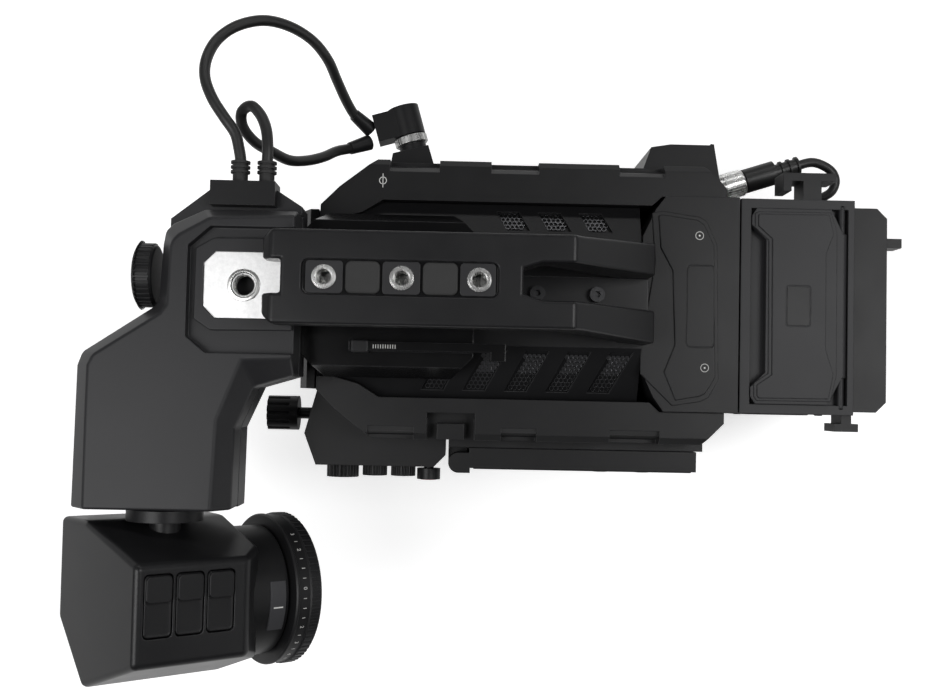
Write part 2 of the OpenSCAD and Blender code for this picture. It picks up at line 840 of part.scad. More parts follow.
// Arm outline in shares of its length and span
arm_shares = [
  [0, 0], [0.005, 0.29], [0.008, 0.47], [0.03, 0.515], [0.35, 0.67], [0.37, 0.69], [0.385, 0.88],
  [0.395, 0.925], [0.43, 0.95], [0.575, 1], [1, 1], [1, 0.45], [0.82, 0.41], [0.735, 0.27], [0.73, 0]
];
arm_top_shares = [
  [0.085, 0], [0.085, 0.29], [0.087, 0.47], [0.11, 0.505], [0.405, 0.645], [0.435, 0.675], [0.443, 0.865],
  [0.452, 0.885], [0.478, 0.905], [0.617, 0.963], [1, 0.976], [1, 0.503], [0.777, 0.497], [0.672, 0.3],
  [0.655, 0]
];
tail_shares = [
  [0.385, 0.9], [0.385, 0.98], [0.56, 1.08], [0.59, 1.09], [0.87, 1.09], [1, 1.03], [1, 0.9]
];
recess_shares = [
  [0.52, 0.57], [0.61, 0.517], [1, 0.517], [1, 0.935], [0.62, 0.935], [0.52, 0.87]
];
function arm_points(shares) = grown(shares, arm_len, arm_span, [arm_front, arm_end_y]);
recess_depth = 5;
arm_wall = 3;
plate_x = [-122, -arm_rear - seam];
plate_half = 14.5;
plate_corner = 5;
plate_bore_x = -104.5;
plate_y = arm_end_y + arm_span * 0.74394;
plate_sink = 1.5;
pocket_shares = [
  [0.1, 0.1], [0.1, 0.42], [0.42, 0.6], [0.48, 0.86], [0.95, 0.86], [0.95, 0.56], [0.72, 0.5], [0.62, 0.26],
  [0.62, 0.1]
];
shaft_in = 22;
shaft_y = [arm_end_y, arm_end_y + shaft_in];
lock_knob_y = arm_end_y + arm_span * 0.782;
lock_drop = 21;
lock_knob_z = arm_top - lock_drop;
lock_shaft_r = 3;
lock_face_x = arm_front + arm_len * 0.385;
lock_gap = 4.5;

module arm_top_cover() {
  color("#2e2e30")
  difference() {
    union() {
      prism(arm_points(arm_shares), [arm_split + seam, arm_top - arm_slope]);
      loft(arm_points(arm_shares), arm_points(arm_top_shares), [arm_top - arm_slope, arm_top]);
    }
    prism(arm_points(recess_shares), [arm_top - recess_depth, arm_top + over]);
    mount_plate_body(seam, over);
    rod_z(plate_bore_x, plate_y, [arm_split, arm_top], plate_bore_r + plate_bore_r / 4);
    prism(arm_points(pocket_shares), [arm_split - over, arm_top - arm_slope - arm_wall]);
    rod_y(-evf_hinge_x, [shaft_y[0] - over, shaft_y[1] + seam], evf_hinge_z, hinge_shaft_r + shaft_gap);
    rod_x([lock_face_x - lock_gap, lock_face_x + arm_len * 0.2], lock_knob_y, lock_knob_z,
        lock_shaft_r + shaft_gap);
  }
}

module mount_plate_body(grow, rise)
  translate([0, plate_y, 0])
  prism([
    [plate_x[0] - grow, -plate_half + plate_corner], [plate_x[0] + plate_corner, -plate_half - grow],
    [plate_x[1] + grow, -plate_half - grow], [plate_x[1] + grow, plate_half + grow],
    [plate_x[0] + plate_corner, plate_half + grow], [plate_x[0] - grow, plate_half - plate_corner]
  ], [arm_top - recess_depth - plate_t + plate_sink, arm_top - recess_depth + plate_sink + rise]);

module evf_mount_plate() {
  color("gainsboro")
  difference() {
    mount_plate_body(0, 0);
    rod_z(plate_bore_x, plate_y, [arm_top - recess_depth - plate_t, arm_top], plate_bore_r);
  }
}

module arm_bottom_shell() {
  color("#262628")
  difference() {
    union() {
      prism(arm_points(arm_shares), [arm_floor, arm_split]);
      prism(arm_points(tail_shares), [arm_floor, arm_split + arm_h * 0.08]);
    }
    prism(arm_points(pocket_shares), [arm_floor + arm_wall, arm_split + over]);
    rod_y(-evf_hinge_x, [shaft_y[0] - over, shaft_y[1] + seam], evf_hinge_z, hinge_shaft_r + shaft_gap);
    prism(arm_points(arm_shares), [arm_split, arm_top]);
    gland_body();
  }
}

gland_x = [-123, -94];
gland_t = 11;
gland_gap = 3.2;
gland_y = [for (i = [0, 1]) arm_end_y + arm_span + gland_gap + i * gland_t];
gland_drop = 31.5;
gland_h = 16;
gland_z = [arm_top - gland_drop, arm_top - gland_drop + gland_h];

module gland_body()
  block(gland_x, gland_y, gland_z);

boot_x = [-111, -99];
boot_z = (gland_z[0] + gland_z[1]) / 2;
boot_r = 4;
boot_len = 10;
boot_ribs = 3;
rib_r = 4.4;
rib_w = 1.1;
rib_pitch = 2.2;
tail_y = gland_y[1] + boot_len;

module cable_gland() {
  color("#1c1c1e")
  difference() {
    gland_body();
    for (x = boot_x)
      rod_y(x, [gland_y[1] - boot_len / 4, gland_y[1] + over], boot_z, boot_r - rib_w / 2);
  }
}

module cable_boots() {
  color("#151515")
  for (x = boot_x) {
    rod_y(x, [gland_y[1] - boot_len / 4, tail_y], boot_z, boot_r - rib_w / 2);
    for (i = [0:boot_ribs - 1])
      rod_y(x, [tail_y - rib_w - i * rib_pitch, tail_y - i * rib_pitch], boot_z, rib_r);
  }
}

// Cord routes: chosen points, joined by a smooth curve
bnc_x = 121;
bnc_stand = 2.6;
bnc_y = max(casing_half + bnc_stand, recorder_half + bnc_ring_r * 1.25);
bnc_z = 75;
bnc_reach = 50.5;
sdi_gland_x = 176;
sdi_gland_z = 70;
sdi_gland_len = 5.25;
plug_mouth = [-30, 35, 7];
plug_mouth_b = [-32, 18, 5];
bnc_end = [bnc_x + bnc_reach * cos(bnc_lean), bnc_y + bnc_reach * sin(bnc_lean), bnc_z];
evf_route_a = [
  [-111, 58, 164], [-112, 64, 164], [-114, 71, 164], [-119, 78, 164], [-125, 87, 163], [-129, 97, 161],
  [-129, 107, 158], [-125, 117, 154], [-117, 125, 149], [-106, 130, 142], [-95, 130, 134], [-85, 126, 126],
  [-78, 119, 118], [-74, 111, 109], [-70, 103, 101], [-66, 97, 95]
];
evf_route_b = [
  [-99, 58, 164], [-99, 65, 164], [-100, 73, 163], [-103, 80, 161], [-108, 85, 158], [-113, 83, 154],
  [-113, 77, 150], [-108, 71, 145], [-101, 68, 138], [-94, 66, 129], [-87, 68, 119], [-80, 72, 109],
  [-74, 77, 100], [-68, 80, 93]
];
sdi_end = [sdi_gland_x, recorder_half + sdi_gland_len, sdi_gland_z];
sdi_route = [
  [169, 80, 75], [176, 82, 75.5], [182, 80.5, 76], [187, 77, 76], [189, 72, 75.5], [187.5, 67, 74.5],
  [183.5, 64, 73], [179, 62, 71.5], [176.5, 60, 70.5], [176, 57, 70]
];
cord_sides = 10;
cord_steps = 2;

function spline(p, t) = 0.5 * (
  2 * p[1] + (p[2] - p[0]) * t + (2 * p[0] - 5 * p[1] + 4 * p[2] - p[3]) * t * t
  + (3 * p[1] - p[0] - 3 * p[2] + p[3]) * t * t * t
);
// A chosen route, drawn along with the places of its two ends
function tied(r, from, to) = let (n = len(r) - 1)
  [for (i = [0:n]) r[i] + (from - r[0]) * (1 - i / n) + (to - r[n]) * (i / n)];
function route_points(r, start, end) = let (
  n = len(r),
  q = concat([r[0] - start], r, [r[n - 1] + end])
) concat(
  [for (i = [0:n - 2]) for (s = [0:cord_steps - 1])
    spline([q[i], q[i + 1], q[i + 2], q[i + 3]], s / cord_steps)],
  [r[n - 1]]
);
function unit(v) = v / norm(v);
function next_up(up, dir) = unit(up - dir * (up * dir));
function rings_up(dirs, i, up, list) = i == len(dirs) ? list
  : let (u = next_up(up, dirs[i])) rings_up(dirs, i + 1, u, concat(list, [u]));

// Sweeps a round tube along the points, with square ends
module cord_tube(points, start, end, r) {
  n = len(points);
  dirs = [for (i = [0:n - 1]) i == 0 ? unit(start) : i == n - 1 ? unit(end)
    : unit(points[i + 1] - points[i - 1])];
  ups = rings_up(dirs, 0, [0, 0, 1], []);
  verts = [for (i = [0:n - 1]) for (k = [0:cord_sides - 1])
    let (a = 360 * k / cord_sides, side = cross(dirs[i], ups[i]))
      points[i] + r * (cos(a) * ups[i] + sin(a) * side)];
  faces = concat(
    [[for (k = [0:cord_sides - 1]) k]],
    [for (i = [0:n - 2]) for (k = [0:cord_sides - 1]) let (a = i * cord_sides, m = (k + 1) % cord_sides)
      each [[a + k, a + cord_sides + k, a + m], [a + m, a + cord_sides + k, a + cord_sides + m]]],
    [[for (k = [cord_sides - 1:-1:0]) (n - 1) * cord_sides + k]]
  );
  polyhedron(verts, faces);
}

module evf_cable_a() {
  color("#101010")
  cord_tube(route_points(evf_path_a, tail_out, plug_in_a), tail_out, plug_in_a, evf_cable_d / 2);
}

module evf_cable_b() {
  color("#101010")
  cord_tube(route_points(evf_path_b, tail_out, plug_in_b), tail_out, plug_in_b, evf_cable_d / 2);
}

module sdi_cable() {
  color("#101010")
  cord_tube(route_points(sdi_path, sdi_in, sdi_out), sdi_in, sdi_out, sdi_cable_d / 2);
}

tail_step = 6;
tail_out = [0, tail_step, 0];
sdi_path = tied(sdi_route, bnc_end, sdi_end);
plug_in_a = [4, -3, -3];
plug_in_b = [6, 3, -4];
sdi_in = tail_step * [cos(bnc_lean), sin(bnc_lean), 0];
sdi_out = [0, -4, 0];

// Socket on the right wall, the plug leaning forward out of it
socket_x = -36;
socket_z = 88;
socket_reach = 21;
socket_half = 12;
socket_r = 7;
socket_bore_r = 6;
plug_r = 8.2;
plug_len = 16;
plug_box = 20;
lock_ring_len = 4.5;
lock_ring_r = 8.4;
socket_place = [socket_x, casing_half, socket_z];
evf_path_a = tied(evf_route_a, [boot_x[0], tail_y, boot_z], socket_place + plug_mouth);
evf_path_b = tied(evf_route_b, [boot_x[1], tail_y, boot_z], socket_place + plug_mouth_b);

module socket_frame()
  translate([socket_x, casing_half + socket_reach, socket_z])
    rotate([0, 0, 90 + plug_lean])
      children();

module evf_socket_block() {
  color("#2c2c2e")
  difference() {
    union() {
      difference() {
        prism([
          [socket_x - socket_half, casing_half], [socket_x + 1.2 * socket_half, casing_half],
          [socket_x + 0.7 * socket_half, casing_half + socket_reach * 0.92],
          [socket_x - 0.8 * socket_half, casing_half + socket_reach * 0.7]
        ], [socket_z - socket_half, socket_z + socket_half]);
        socket_frame()
          block([-seam, socket_reach], 2 * [-socket_half, socket_half], 2 * [-socket_half, socket_half]);
      }
      socket_frame()
        rod_x([-socket_reach / 2, 0], 0, 0, socket_r);
    }
    socket_frame()
      rod_x([-socket_reach / 2 + over, over], 0, 0, socket_bore_r);
  }
}

module evf_plug() {
  color("#1a1a1c")
  socket_frame() {
    rod_x([lock_ring_len + 2 * move_gap, lock_ring_len + plug_len], 0, 0, plug_r);
    block([lock_ring_len + 2 * move_gap, lock_ring_len + plug_box * 0.75], [0, 2 * plug_r],
        [-plug_r * 0.8, plug_r * 0.8]);
    rod_x([-socket_reach / 3, lock_ring_len + plug_len / 2], 0, 0, socket_bore_r);
  }
  color("#151515") {
    plug_boot(evf_path_a, plug_in_a);
    plug_boot(evf_path_b, plug_in_b);
  }
}

// A short sleeve that runs on from the end of a cord into the plug
boot_run = 12;

module plug_boot(route, dir)
  translate(route[len(route) - 1])
    rotate([0, acos(unit(dir)[2]), atan2(dir[1], dir[0])])
      cylinder(r1 = evf_cable_d / 2 + rib_w / 2, r2 = boot_r, h = boot_run, $fn = 24);

module plug_lock_ring() {
  color("silver")
  socket_frame()
    difference() {
      rod_x([move_gap, lock_ring_len + move_gap], 0, 0, lock_ring_r);
      rod_x([-over, lock_ring_len + over + move_gap], 0, 0, socket_bore_r + shaft_gap);
    }
}

control_x = -casing_front - seam;
control_rear = control_x + control_len;
control_y = -casing_half - control_w;
control_top = control_z + control_h;
control_cut = 12;
dial_gap = 2;
dial_x = control_x + front_dial_r + 1.5 * dial_gap;
dial_z = 78;
dial_shaft_r = 2.5;
audio_x = [for (i = [0, 1]) dial_x + front_dial_r + (2 * i + 1) * audio_knob_r + (i + 1) * dial_gap];
audio_len = 6;
record_x = -24;
record_z = 84;
record_travel = 1.5;
record_len = 6;

module side_control_panel() {
  color("#28282a")
  difference() {
    prism([
      [control_x, -casing_half + front_cut_w - seam],
      [control_x - control_cut / 2, control_y + control_cut * 1.3],
      [control_x, control_y], [control_rear - control_cut / 2, control_y],
      [control_rear - seam, control_y + control_cut / 2],
      [control_rear - seam, -casing_half], [-casing_front + front_cut_len, -casing_half]
    ], [control_z, control_top]);
    block([control_x + casing_wall, control_rear - 1.7 * casing_wall],
        [control_y + casing_wall, -casing_half - casing_wall],
        [control_z + casing_wall, control_top - casing_wall]);
    for (x = [dial_x, audio_x[0], audio_x[1], record_x])
      rod_y(x, [control_y - over, control_y + casing_wall + over], x == record_x ? record_z : dial_z,
          dial_shaft_r + shaft_gap);
    rod_x([control_x - control_w, -casing_front + front_cut_len], nd_knob_y, nd_knob_z,
        nd_shaft_r + shaft_gap);
    drive_slot();
  }
}

// A dial with a shaft through the panel and a head that holds it
module side_dial(x, z, r, length, grips) {
  difference() {
    rod_y(x, [control_y - move_gap - length, control_y - move_gap], z, r);
    for (i = [0:grips - 1])
      translate([x, 0, z])
        rotate([0, i * 360 / grips, 0])
          translate([r, control_y - length, 0])
            rotate([90, 0, 0])
              cylinder(r = r * 1.6 / grips, h = 2 * length, center = true, $fn = 4);
  }
  panel_shaft(x, z, control_y - move_gap - length / 2, 1.6);
}

// Shaft from y to behind the panel's wall, with a flat head there
module panel_shaft(x, z, y, head_share) {
  rod_y(x, [y, shaft_end + shaft_head], z, dial_shaft_r);
  rod_y(x, [shaft_end, shaft_end + shaft_head], z, dial_shaft_r * head_share);
}
shaft_end = control_y + casing_wall + move_gap;
shaft_head = 1.5;
dial_grips = 24;

module front_dial() {
  color("#3a3a3c") side_dial(dial_x, dial_z, front_dial_r, front_dial_len, dial_grips);
}

module audio_knob_front() {
  color("#18181a") side_dial(audio_x[0], dial_z, audio_knob_r, audio_len, dial_grips);
}

module audio_knob_rear() {
  color("#18181a") side_dial(audio_x[1], dial_z, audio_knob_r, audio_len, dial_grips);
}

module record_button() {
  color("firebrick") {
    rod_y(record_x, [control_y - record_travel - record_len, control_y - record_travel - move_gap], record_z,
        record_r);
    panel_shaft(record_x, record_z, control_y - record_travel - record_len / 2, 1.3);
  }
}

// Filter drive: knob gear, idler and the gear on the wheel's hub
nd_knob_y = -57;
nd_knob_z = 70;
nd_shaft_r = 3;
knob_teeth = 16;
idler_teeth = 29;
axis_dist = norm([wheel_y - nd_knob_y, wheel_z - nd_knob_z]);
gear_module = axis_dist / (knob_teeth + idler_teeth);
knob_gear_r = gear_module * knob_teeth / 2;
idler_gear_r = gear_module * idler_teeth / 2;
gear_t = 3;
gear_gap = 0.15;
gear_front = -62;
gear_x = [gear_front, gear_front + gear_t];
wheel_x = [gear_x[1] + over, gear_x[1] + over + wheel_t];
idler_y = (nd_knob_y + wheel_y) / 2;
idler_z = (nd_knob_z + wheel_z) / 2;
axis_angle = atan2(wheel_z - nd_knob_z, wheel_y - nd_knob_y);
tooth_shares = [[0, -1.1], [0.24, -1.1], [0.36, 0.9], [0.64, 0.9], [0.76, -1.1]];

// Outline of a gear, each tooth taken from the same shares of its pitch and module
function gear_points(teeth, turn) = [
  for (i = [0:teeth - 1]) for (s = tooth_shares)
    let (a = turn + (i + s[0]) * 360 / teeth, r = gear_module * (teeth / 2 + s[1]) - gear_gap)
      [r * cos(a), r * sin(a)]
];

module gear(x, y, z, teeth, turn)
  translate([x[0], y, z])
    rotate([90, 0, 90])
      linear_extrude(x[1] - x[0])
        polygon(gear_points(teeth, turn));

function tooth_turn(teeth) = axis_angle - 0.5 * 360 / teeth;
function gap_turn(teeth) = axis_angle + 180;
knob_front = -(casing_front + front_cut_len * 0.45);

module nd_knob() {
  color("#1a1a1c") {
    difference() {
      rod_x([knob_front - nd_knob_len, knob_front], nd_knob_y, nd_knob_z, nd_knob_r);
      for (i = [0:dial_grips / 2 - 1])
        translate([knob_front - nd_knob_len - over, nd_knob_y, nd_knob_z])
          rotate([i * 720 / dial_grips, 0, 0])
            translate([0, nd_knob_r, 0])
              rotate([0, 90, 0])
                cylinder(r = nd_knob_r * 0.12, h = nd_knob_len * 0.8, $fn = 4);
    }
    rod_x([knob_front - seam, gear_x[1]], nd_knob_y, nd_knob_z, nd_shaft_r);
    gear(gear_x, nd_knob_y, nd_knob_z, knob_teeth, tooth_turn(knob_teeth));
  }
}

idler_pin_r = 2;
wheel_pin_r = 3;

module nd_idler_gear() {
  color("goldenrod")
  difference() {
    gear(gear_x, idler_y, idler_z, idler_teeth, idler_turn);
    rod_x([gear_x[0] - over, gear_x[1] + over], idler_y, idler_z, idler_pin_r + shaft_gap);
  }
}
// The idler has a gap towards the knob gear
idler_turn = gap_turn(idler_teeth);
// Whole steps of the idler leave this part of a step towards the wheel
idler_far_share = (180 / (360 / idler_teeth)) % 1;
wheel_turn = axis_angle + 180 + (0.5 - idler_far_share) * 360 / knob_teeth;

module nd_filter_wheel() {
  color("#3c3c40")
  difference() {
    union() {
      rod_x(wheel_x, wheel_y, wheel_z, wheel_r);
      gear([gear_x[0], wheel_x[0] + seam], wheel_y, wheel_z, knob_teeth, wheel_turn);
    }
    translate([0, wheel_y, wheel_z])
      for (i = [0:3])
        rotate([filter_angle + i * 90, 0, 0])
          rod_x([wheel_x[0] - over, wheel_x[1] + over], filter_reach, 0, filter_r);
    rod_x([gear_x[0] - over, wheel_x[1] + over], wheel_y, wheel_z, wheel_pin_r + shaft_gap);
  }
}
filter_reach = norm([wheel_y, lens_z - wheel_z]);
filter_angle = atan2(lens_z - wheel_z, -wheel_y);

module lens_release_button() {
  color("silver")
  rod_x([-casing_front - fascia_t - release_rise, -casing_front - release_floor - release_travel], release_y,
      release_z, release_r);
}

// Side screen on a pin beside the casing
knuckle_h = 12;
screen_pin_r = 1.5;
screen_top = screen_z + screen_h;
bracket_z = [screen_z + knuckle_h, screen_top - knuckle_h];

module lcd_hinge_bracket() {
  color("#3a3a3c")
  difference() {
    union() {
      rod_z(hinge_x, hinge_y, bracket_z, screen_hinge_r);
      block([hinge_x - screen_hinge_r, hinge_x + screen_hinge_r], [hinge_y, -casing_half - bay_t], bracket_z);
      rod_z(hinge_x, hinge_y, [screen_z + knuckle_h / 4, screen_top - knuckle_h / 4], screen_pin_r);
    }
    block([hinge_x + screen_hinge_r - move_gap, hinge_x + 2 * screen_hinge_r],
        [hinge_y - screen_t, screen_y + screen_t / 2], [screen_z, screen_top]);
  }
}

module lcd_panel() {
  color("#2c2c2e")
  difference() {
    union() {
      block([screen_x, screen_x + screen_len - screen_hinge_r], [screen_outer, screen_y + screen_t / 2],
          [screen_z, screen_top]);
      for (z = [screen_z, screen_top - knuckle_h + move_gap]) {
        rod_z(hinge_x, hinge_y, [z, z + knuckle_h - move_gap], screen_hinge_r);
        block([hinge_x, screen_x + move_gap], [hinge_y - screen_hinge_r, hinge_y + screen_hinge_r],
            [z, z + knuckle_h - move_gap]);
      }
    }
    rod_z(hinge_x, hinge_y, [screen_z + knuckle_h / 4 - move_gap, screen_top - knuckle_h / 4 + move_gap],
        screen_pin_r + shaft_gap);
    block([screen_x + screen_t, screen_x + screen_len - screen_t],
        [screen_y + screen_t / 2 - over, screen_y + screen_t],
        [screen_z + screen_t / 2, screen_top - screen_t / 2]);
    for (x = lcd_button_x)
      rod_y(x, [screen_outer - over, screen_outer + screen_t / 2], lcd_button_z, lcd_button_r + move_gap);
  }
}
lcd_button_x = [63, 84];
lcd_button_z = 96;
lcd_button_r = 4.2;
lcd_button_rise = 1.2;

module lcd_button(x)
  rod_y(x, [screen_outer - lcd_button_rise, screen_outer + screen_t / 2 - lcd_button_rise - move_gap],
      lcd_button_z, lcd_button_r);

module lcd_button_front() {
  color("#3a3a3c") lcd_button(lcd_button_x[0]);
}

module lcd_button_rear() {
  color("#3a3a3c") lcd_button(lcd_button_x[1]);
}

// Connector block on the rear of the right side
xlr_x = [78, 120];
xlr_w = 20;
xlr_z = [58, 112];
xlr_cut = 8;
xlr_hole_r = 8.5;
xlr_y = casing_half + xlr_w * 0.48;
xlr_hole_z = 97;
xlr_depth = 14;
latch_w = 6;
latch_len = 9;
latch_t = 3;
latch_x = 108;

module xlr_block() {
  color("#242426")
  difference() {
    prism([
      [xlr_x[0], casing_half], [xlr_x[0] + xlr_cut * 0.8, casing_half + xlr_w - 0.2 * xlr_cut],
      [xlr_x[0] + 2 * xlr_cut, casing_half + xlr_w], [xlr_x[1] - xlr_cut * 0.5, casing_half + xlr_w],
      [xlr_x[1], casing_half - rear_cut_w * 0.3],
      [casing_rear - rear_cut_len * 0.55, casing_half - rear_cut_w * 0.45],
      [casing_rear - rear_cut_len, casing_half]
    ], [xlr_z[0], xlr_z[1] - seam]);
    rod_x([xlr_x[1] - xlr_depth, xlr_x[1] + over], xlr_y, xlr_hole_z, xlr_hole_r);
    block([latch_x - move_gap, xlr_x[1] + over],
        [casing_half + xlr_w - latch_t - move_gap, casing_half + xlr_w + over],
        [xlr_hole_z - latch_w / 2 - move_gap, xlr_hole_z + latch_w / 2 + move_gap]);
    bnc_frame()
      rod_x([-bnc_root, bnc_root], 0, 0, bnc_socket_r + shaft_gap);
  }
}

module xlr_latch() {
  color("#3a3a3c")
  translate([latch_x, casing_half + xlr_w, xlr_hole_z])
    prism([
      [0, -latch_t], [latch_len, -latch_t], [latch_len, -latch_t / 2], [latch_len * 1.2, latch_t],
      [latch_len, latch_t * 1.1], [latch_len * 0.8, 0], [0, 0]
    ], [-latch_w / 2, latch_w / 2]);
}

// Bayonet socket and plug behind the connector block
bnc_root = 6;
bnc_socket_r = 5.6;
bnc_socket_len = 16;
bnc_flange_r = 7;
bnc_flange_t = 2;
bnc_bore_r = 4.6;
bnc_ring_len = 14;
bnc_boot_r = 6.4;
bnc_boot_len = 34;
bnc_ring_end = 3 * bnc_flange_t + bnc_ring_len;

module bnc_frame()
  translate([bnc_x, bnc_y, bnc_z])
    rotate([0, 0, bnc_lean])
      children();

module bnc_socket() {
  color("silver")
  bnc_frame()
    difference() {
      union() {
        rod_x([-bnc_root, bnc_socket_len], 0, 0, bnc_socket_r);
        rod_x([bnc_flange_t, 2 * bnc_flange_t], 0, 0, bnc_flange_r);
      }
      rod_x([bnc_flange_t, bnc_socket_len + over], 0, 0, bnc_bore_r);
    }
}

module bnc_lock_ring() {
  color("gainsboro")
  bnc_frame()
    difference() {
      rod_x([3 * bnc_flange_t, bnc_ring_end], 0, 0, bnc_ring_r);
      rod_x([3 * bnc_flange_t - over, bnc_ring_end + over], 0, 0, bnc_socket_r + shaft_gap);
    }
}

module bnc_plug() {
  color("#161616")
  bnc_frame() {
    rod_x([2 * bnc_flange_t + over, bnc_ring_end + over], 0, 0, bnc_bore_r);
    rod_x([bnc_ring_end + move_gap, bnc_ring_end + bnc_boot_len / 2], 0, 0, bnc_boot_r);
    rod_x([bnc_ring_end + bnc_boot_len / 2 - seam, bnc_reach], 0, 0, boot_r);
    for (i = [0:boot_ribs - 1])
      rod_x([bnc_reach - rib_w - 2 * i * rib_pitch, bnc_reach - 2 * i * rib_pitch], 0, 0, rib_r + rib_w / 2);
  }
}

// Recorder box with a lid on top, the drive standing inside
neck_t = 1.2;
neck_cut = 4;
drive_w = 70;
drive_h = 100;
drive_t = 7;
drive_x = 22;
recess_x = recorder_x + recorder_len - lid_len - recorder_wall;
lid_x = [recess_x + seam, recess_x + lid_len];
lid_half = lid_w / 2;
lid_pin_r = 1.6;
lid_rise = 1;
lid_edge_r = (lid_t + lid_rise) / 2;
lid_hinge_x = recorder_x + recorder_len - recorder_wall - lid_edge_r - move_gap;
lid_hinge_z = recorder_top - lid_t + lid_edge_r;
lid_notch = 7;
lid_notch_half = 32;
lid_corner = 7;
gland_r = 4.4;

module recorder_housing() {
  color("#2c2c2e")
  difference() {
    union() {
      block([recorder_x + neck_t, recorder_x + recorder_len], [-recorder_half, recorder_half],
          [recorder_z, recorder_top]);
      block([recorder_x, recorder_x + neck_t + seam], [-recorder_half + neck_cut, recorder_half - neck_cut],
          [base_t + neck_cut, recorder_top - neck_cut * 6]);
      rod_y(sdi_end[0], [recorder_half - seam, sdi_end[1]], sdi_end[2], gland_r);
    }
    block([recorder_x + neck_t + recorder_wall, recorder_x + recorder_len - recorder_wall],
        [-recorder_half + recorder_wall, recorder_half - recorder_wall],
        [recorder_z + recorder_wall, recorder_top - 3 * lid_t]);
    block([recess_x, recorder_x + recorder_len - recorder_wall], [-lid_half - seam, lid_half + seam],
        [recorder_top - lid_t - seam, recorder_top + over]);
    block([recess_x + 2 * lid_notch, recorder_x + recorder_len - 2 * recorder_wall - 2 * lid_t],
        [-drive_w / 2 - over, drive_w / 2 + over], [recorder_top - 4 * lid_t, recorder_top]);
    rod_y(lid_hinge_x, [-lid_half - 2 * recorder_wall / 3, lid_half + 2 * recorder_wall / 3], lid_hinge_z,
        lid_pin_r + shaft_gap);
    rod_y(lid_hinge_x, [-lid_half - seam, lid_half + seam], lid_hinge_z, lid_edge_r + move_gap);
  }
}

module ssd_drive() {
  color("#55585c")
  block([recorder_x + drive_x, recorder_x + drive_x + drive_t], [-drive_w / 2, drive_w / 2],
      [recorder_z + recorder_wall, recorder_z + recorder_wall + drive_h]);
}

module recorder_lid() {
  color("#323234") {
    prism([
      [lid_x[0], -lid_half + lid_notch / 2], [lid_x[0] + lid_notch / 3, -lid_half],
      [lid_hinge_x - lid_corner, -lid_half], [lid_hinge_x, -lid_half * 0.72],
      [lid_hinge_x, lid_half * 0.75], [lid_hinge_x - lid_corner * 0.8, lid_half],
      [lid_x[0] + lid_notch / 3, lid_half], [lid_x[0], lid_half - lid_notch / 2],
      [lid_x[0], lid_notch_half + lid_notch], [lid_x[0] + lid_notch, lid_notch_half],
      [lid_x[0] + lid_notch, -lid_notch_half], [lid_x[0], -lid_notch_half - lid_notch]
    ], [recorder_top - lid_t, recorder_top + lid_rise]);
    rod_y(lid_hinge_x, [-lid_half * 0.72, lid_half * 0.75], lid_hinge_z, lid_edge_r);
    rod_y(lid_hinge_x, [-lid_half - recorder_wall / 2, lid_half + recorder_wall / 2], lid_hinge_z, lid_pin_r);
  }
}

cleat_bar_t = 4;
cleat_post_w = 9;
cleat_h = 16;
cleat_drop = 26;
cleat_z = recorder_top - cleat_drop;
cleat_x = 162;
cleat_bar = 11.7;
cleat_tip = cleat_x - 1.22 * cleat_bar;
cleat_reach = 15;
cleat_y = recorder_half + cleat_reach;
small_cleat_x = 185;
small_cleat_drop = 30;
small_cleat_z = battery_z + battery_h - small_cleat_drop;
small_cleat_reach = 8;
small_cleat_y = -battery_w / 2 - small_cleat_reach;
small_cleat_bar = 12;
small_cleat_post = 5;
cleat_hook = 5;

module cable_cleats() {
  color("#1e1e20") {
    prism([
      [cleat_x - cleat_post_w / 2, recorder_half], [cleat_x + cleat_post_w / 2, recorder_half],
      [cleat_x + cleat_post_w / 2, cleat_y - cleat_bar_t], [cleat_x + cleat_bar, cleat_y - cleat_bar_t],
      [cleat_x + cleat_bar, cleat_y], [cleat_tip, cleat_y], [cleat_tip, cleat_y - cleat_bar_t - cleat_hook],
      [cleat_tip + cleat_bar_t, cleat_y - cleat_bar_t - cleat_hook],
      [cleat_tip + cleat_bar_t, cleat_y - cleat_bar_t], [cleat_x - cleat_post_w / 2, cleat_y - cleat_bar_t]
    ], [cleat_z, cleat_z + cleat_h]);
    block([small_cleat_x - small_cleat_post / 2, small_cleat_x + small_cleat_post / 2],
        [small_cleat_y, -battery_w / 2], [small_cleat_z, small_cleat_z + cleat_h]);
    block([small_cleat_x - small_cleat_bar / 2, small_cleat_x + small_cleat_bar / 2],
        [small_cleat_y - cleat_bar_t / 2, small_cleat_y + cleat_bar_t / 2],
        [small_cleat_z, small_cleat_z + cleat_h]);
  }
}

// Battery plate with a tapered slot that is wider inside than at its mouth
battery_rear = battery_x + battery_t;
slot_lip = 3;
slot_lip_t = 2.5;
release_w = 4.6;
release_h = 12;
release_x = battery_x + battery_t * 0.55;
release_inset = 14;
battery_release_z = battery_z + battery_h - release_inset;
slot_z = battery_z + battery_h * 0.16;
battery_release_y = 33.5;
catch_travel = 6;
battery_corner = 5;
release_len = 17;

function slot_outline(grow) = [
  [-slot_foot_w / 2 - grow, slot_z - grow], [slot_foot_w / 2 + grow, slot_z - grow],
  [slot_top_w / 2 + grow, slot_z + slot_h], [-slot_top_w / 2 - grow, slot_z + slot_h]
];

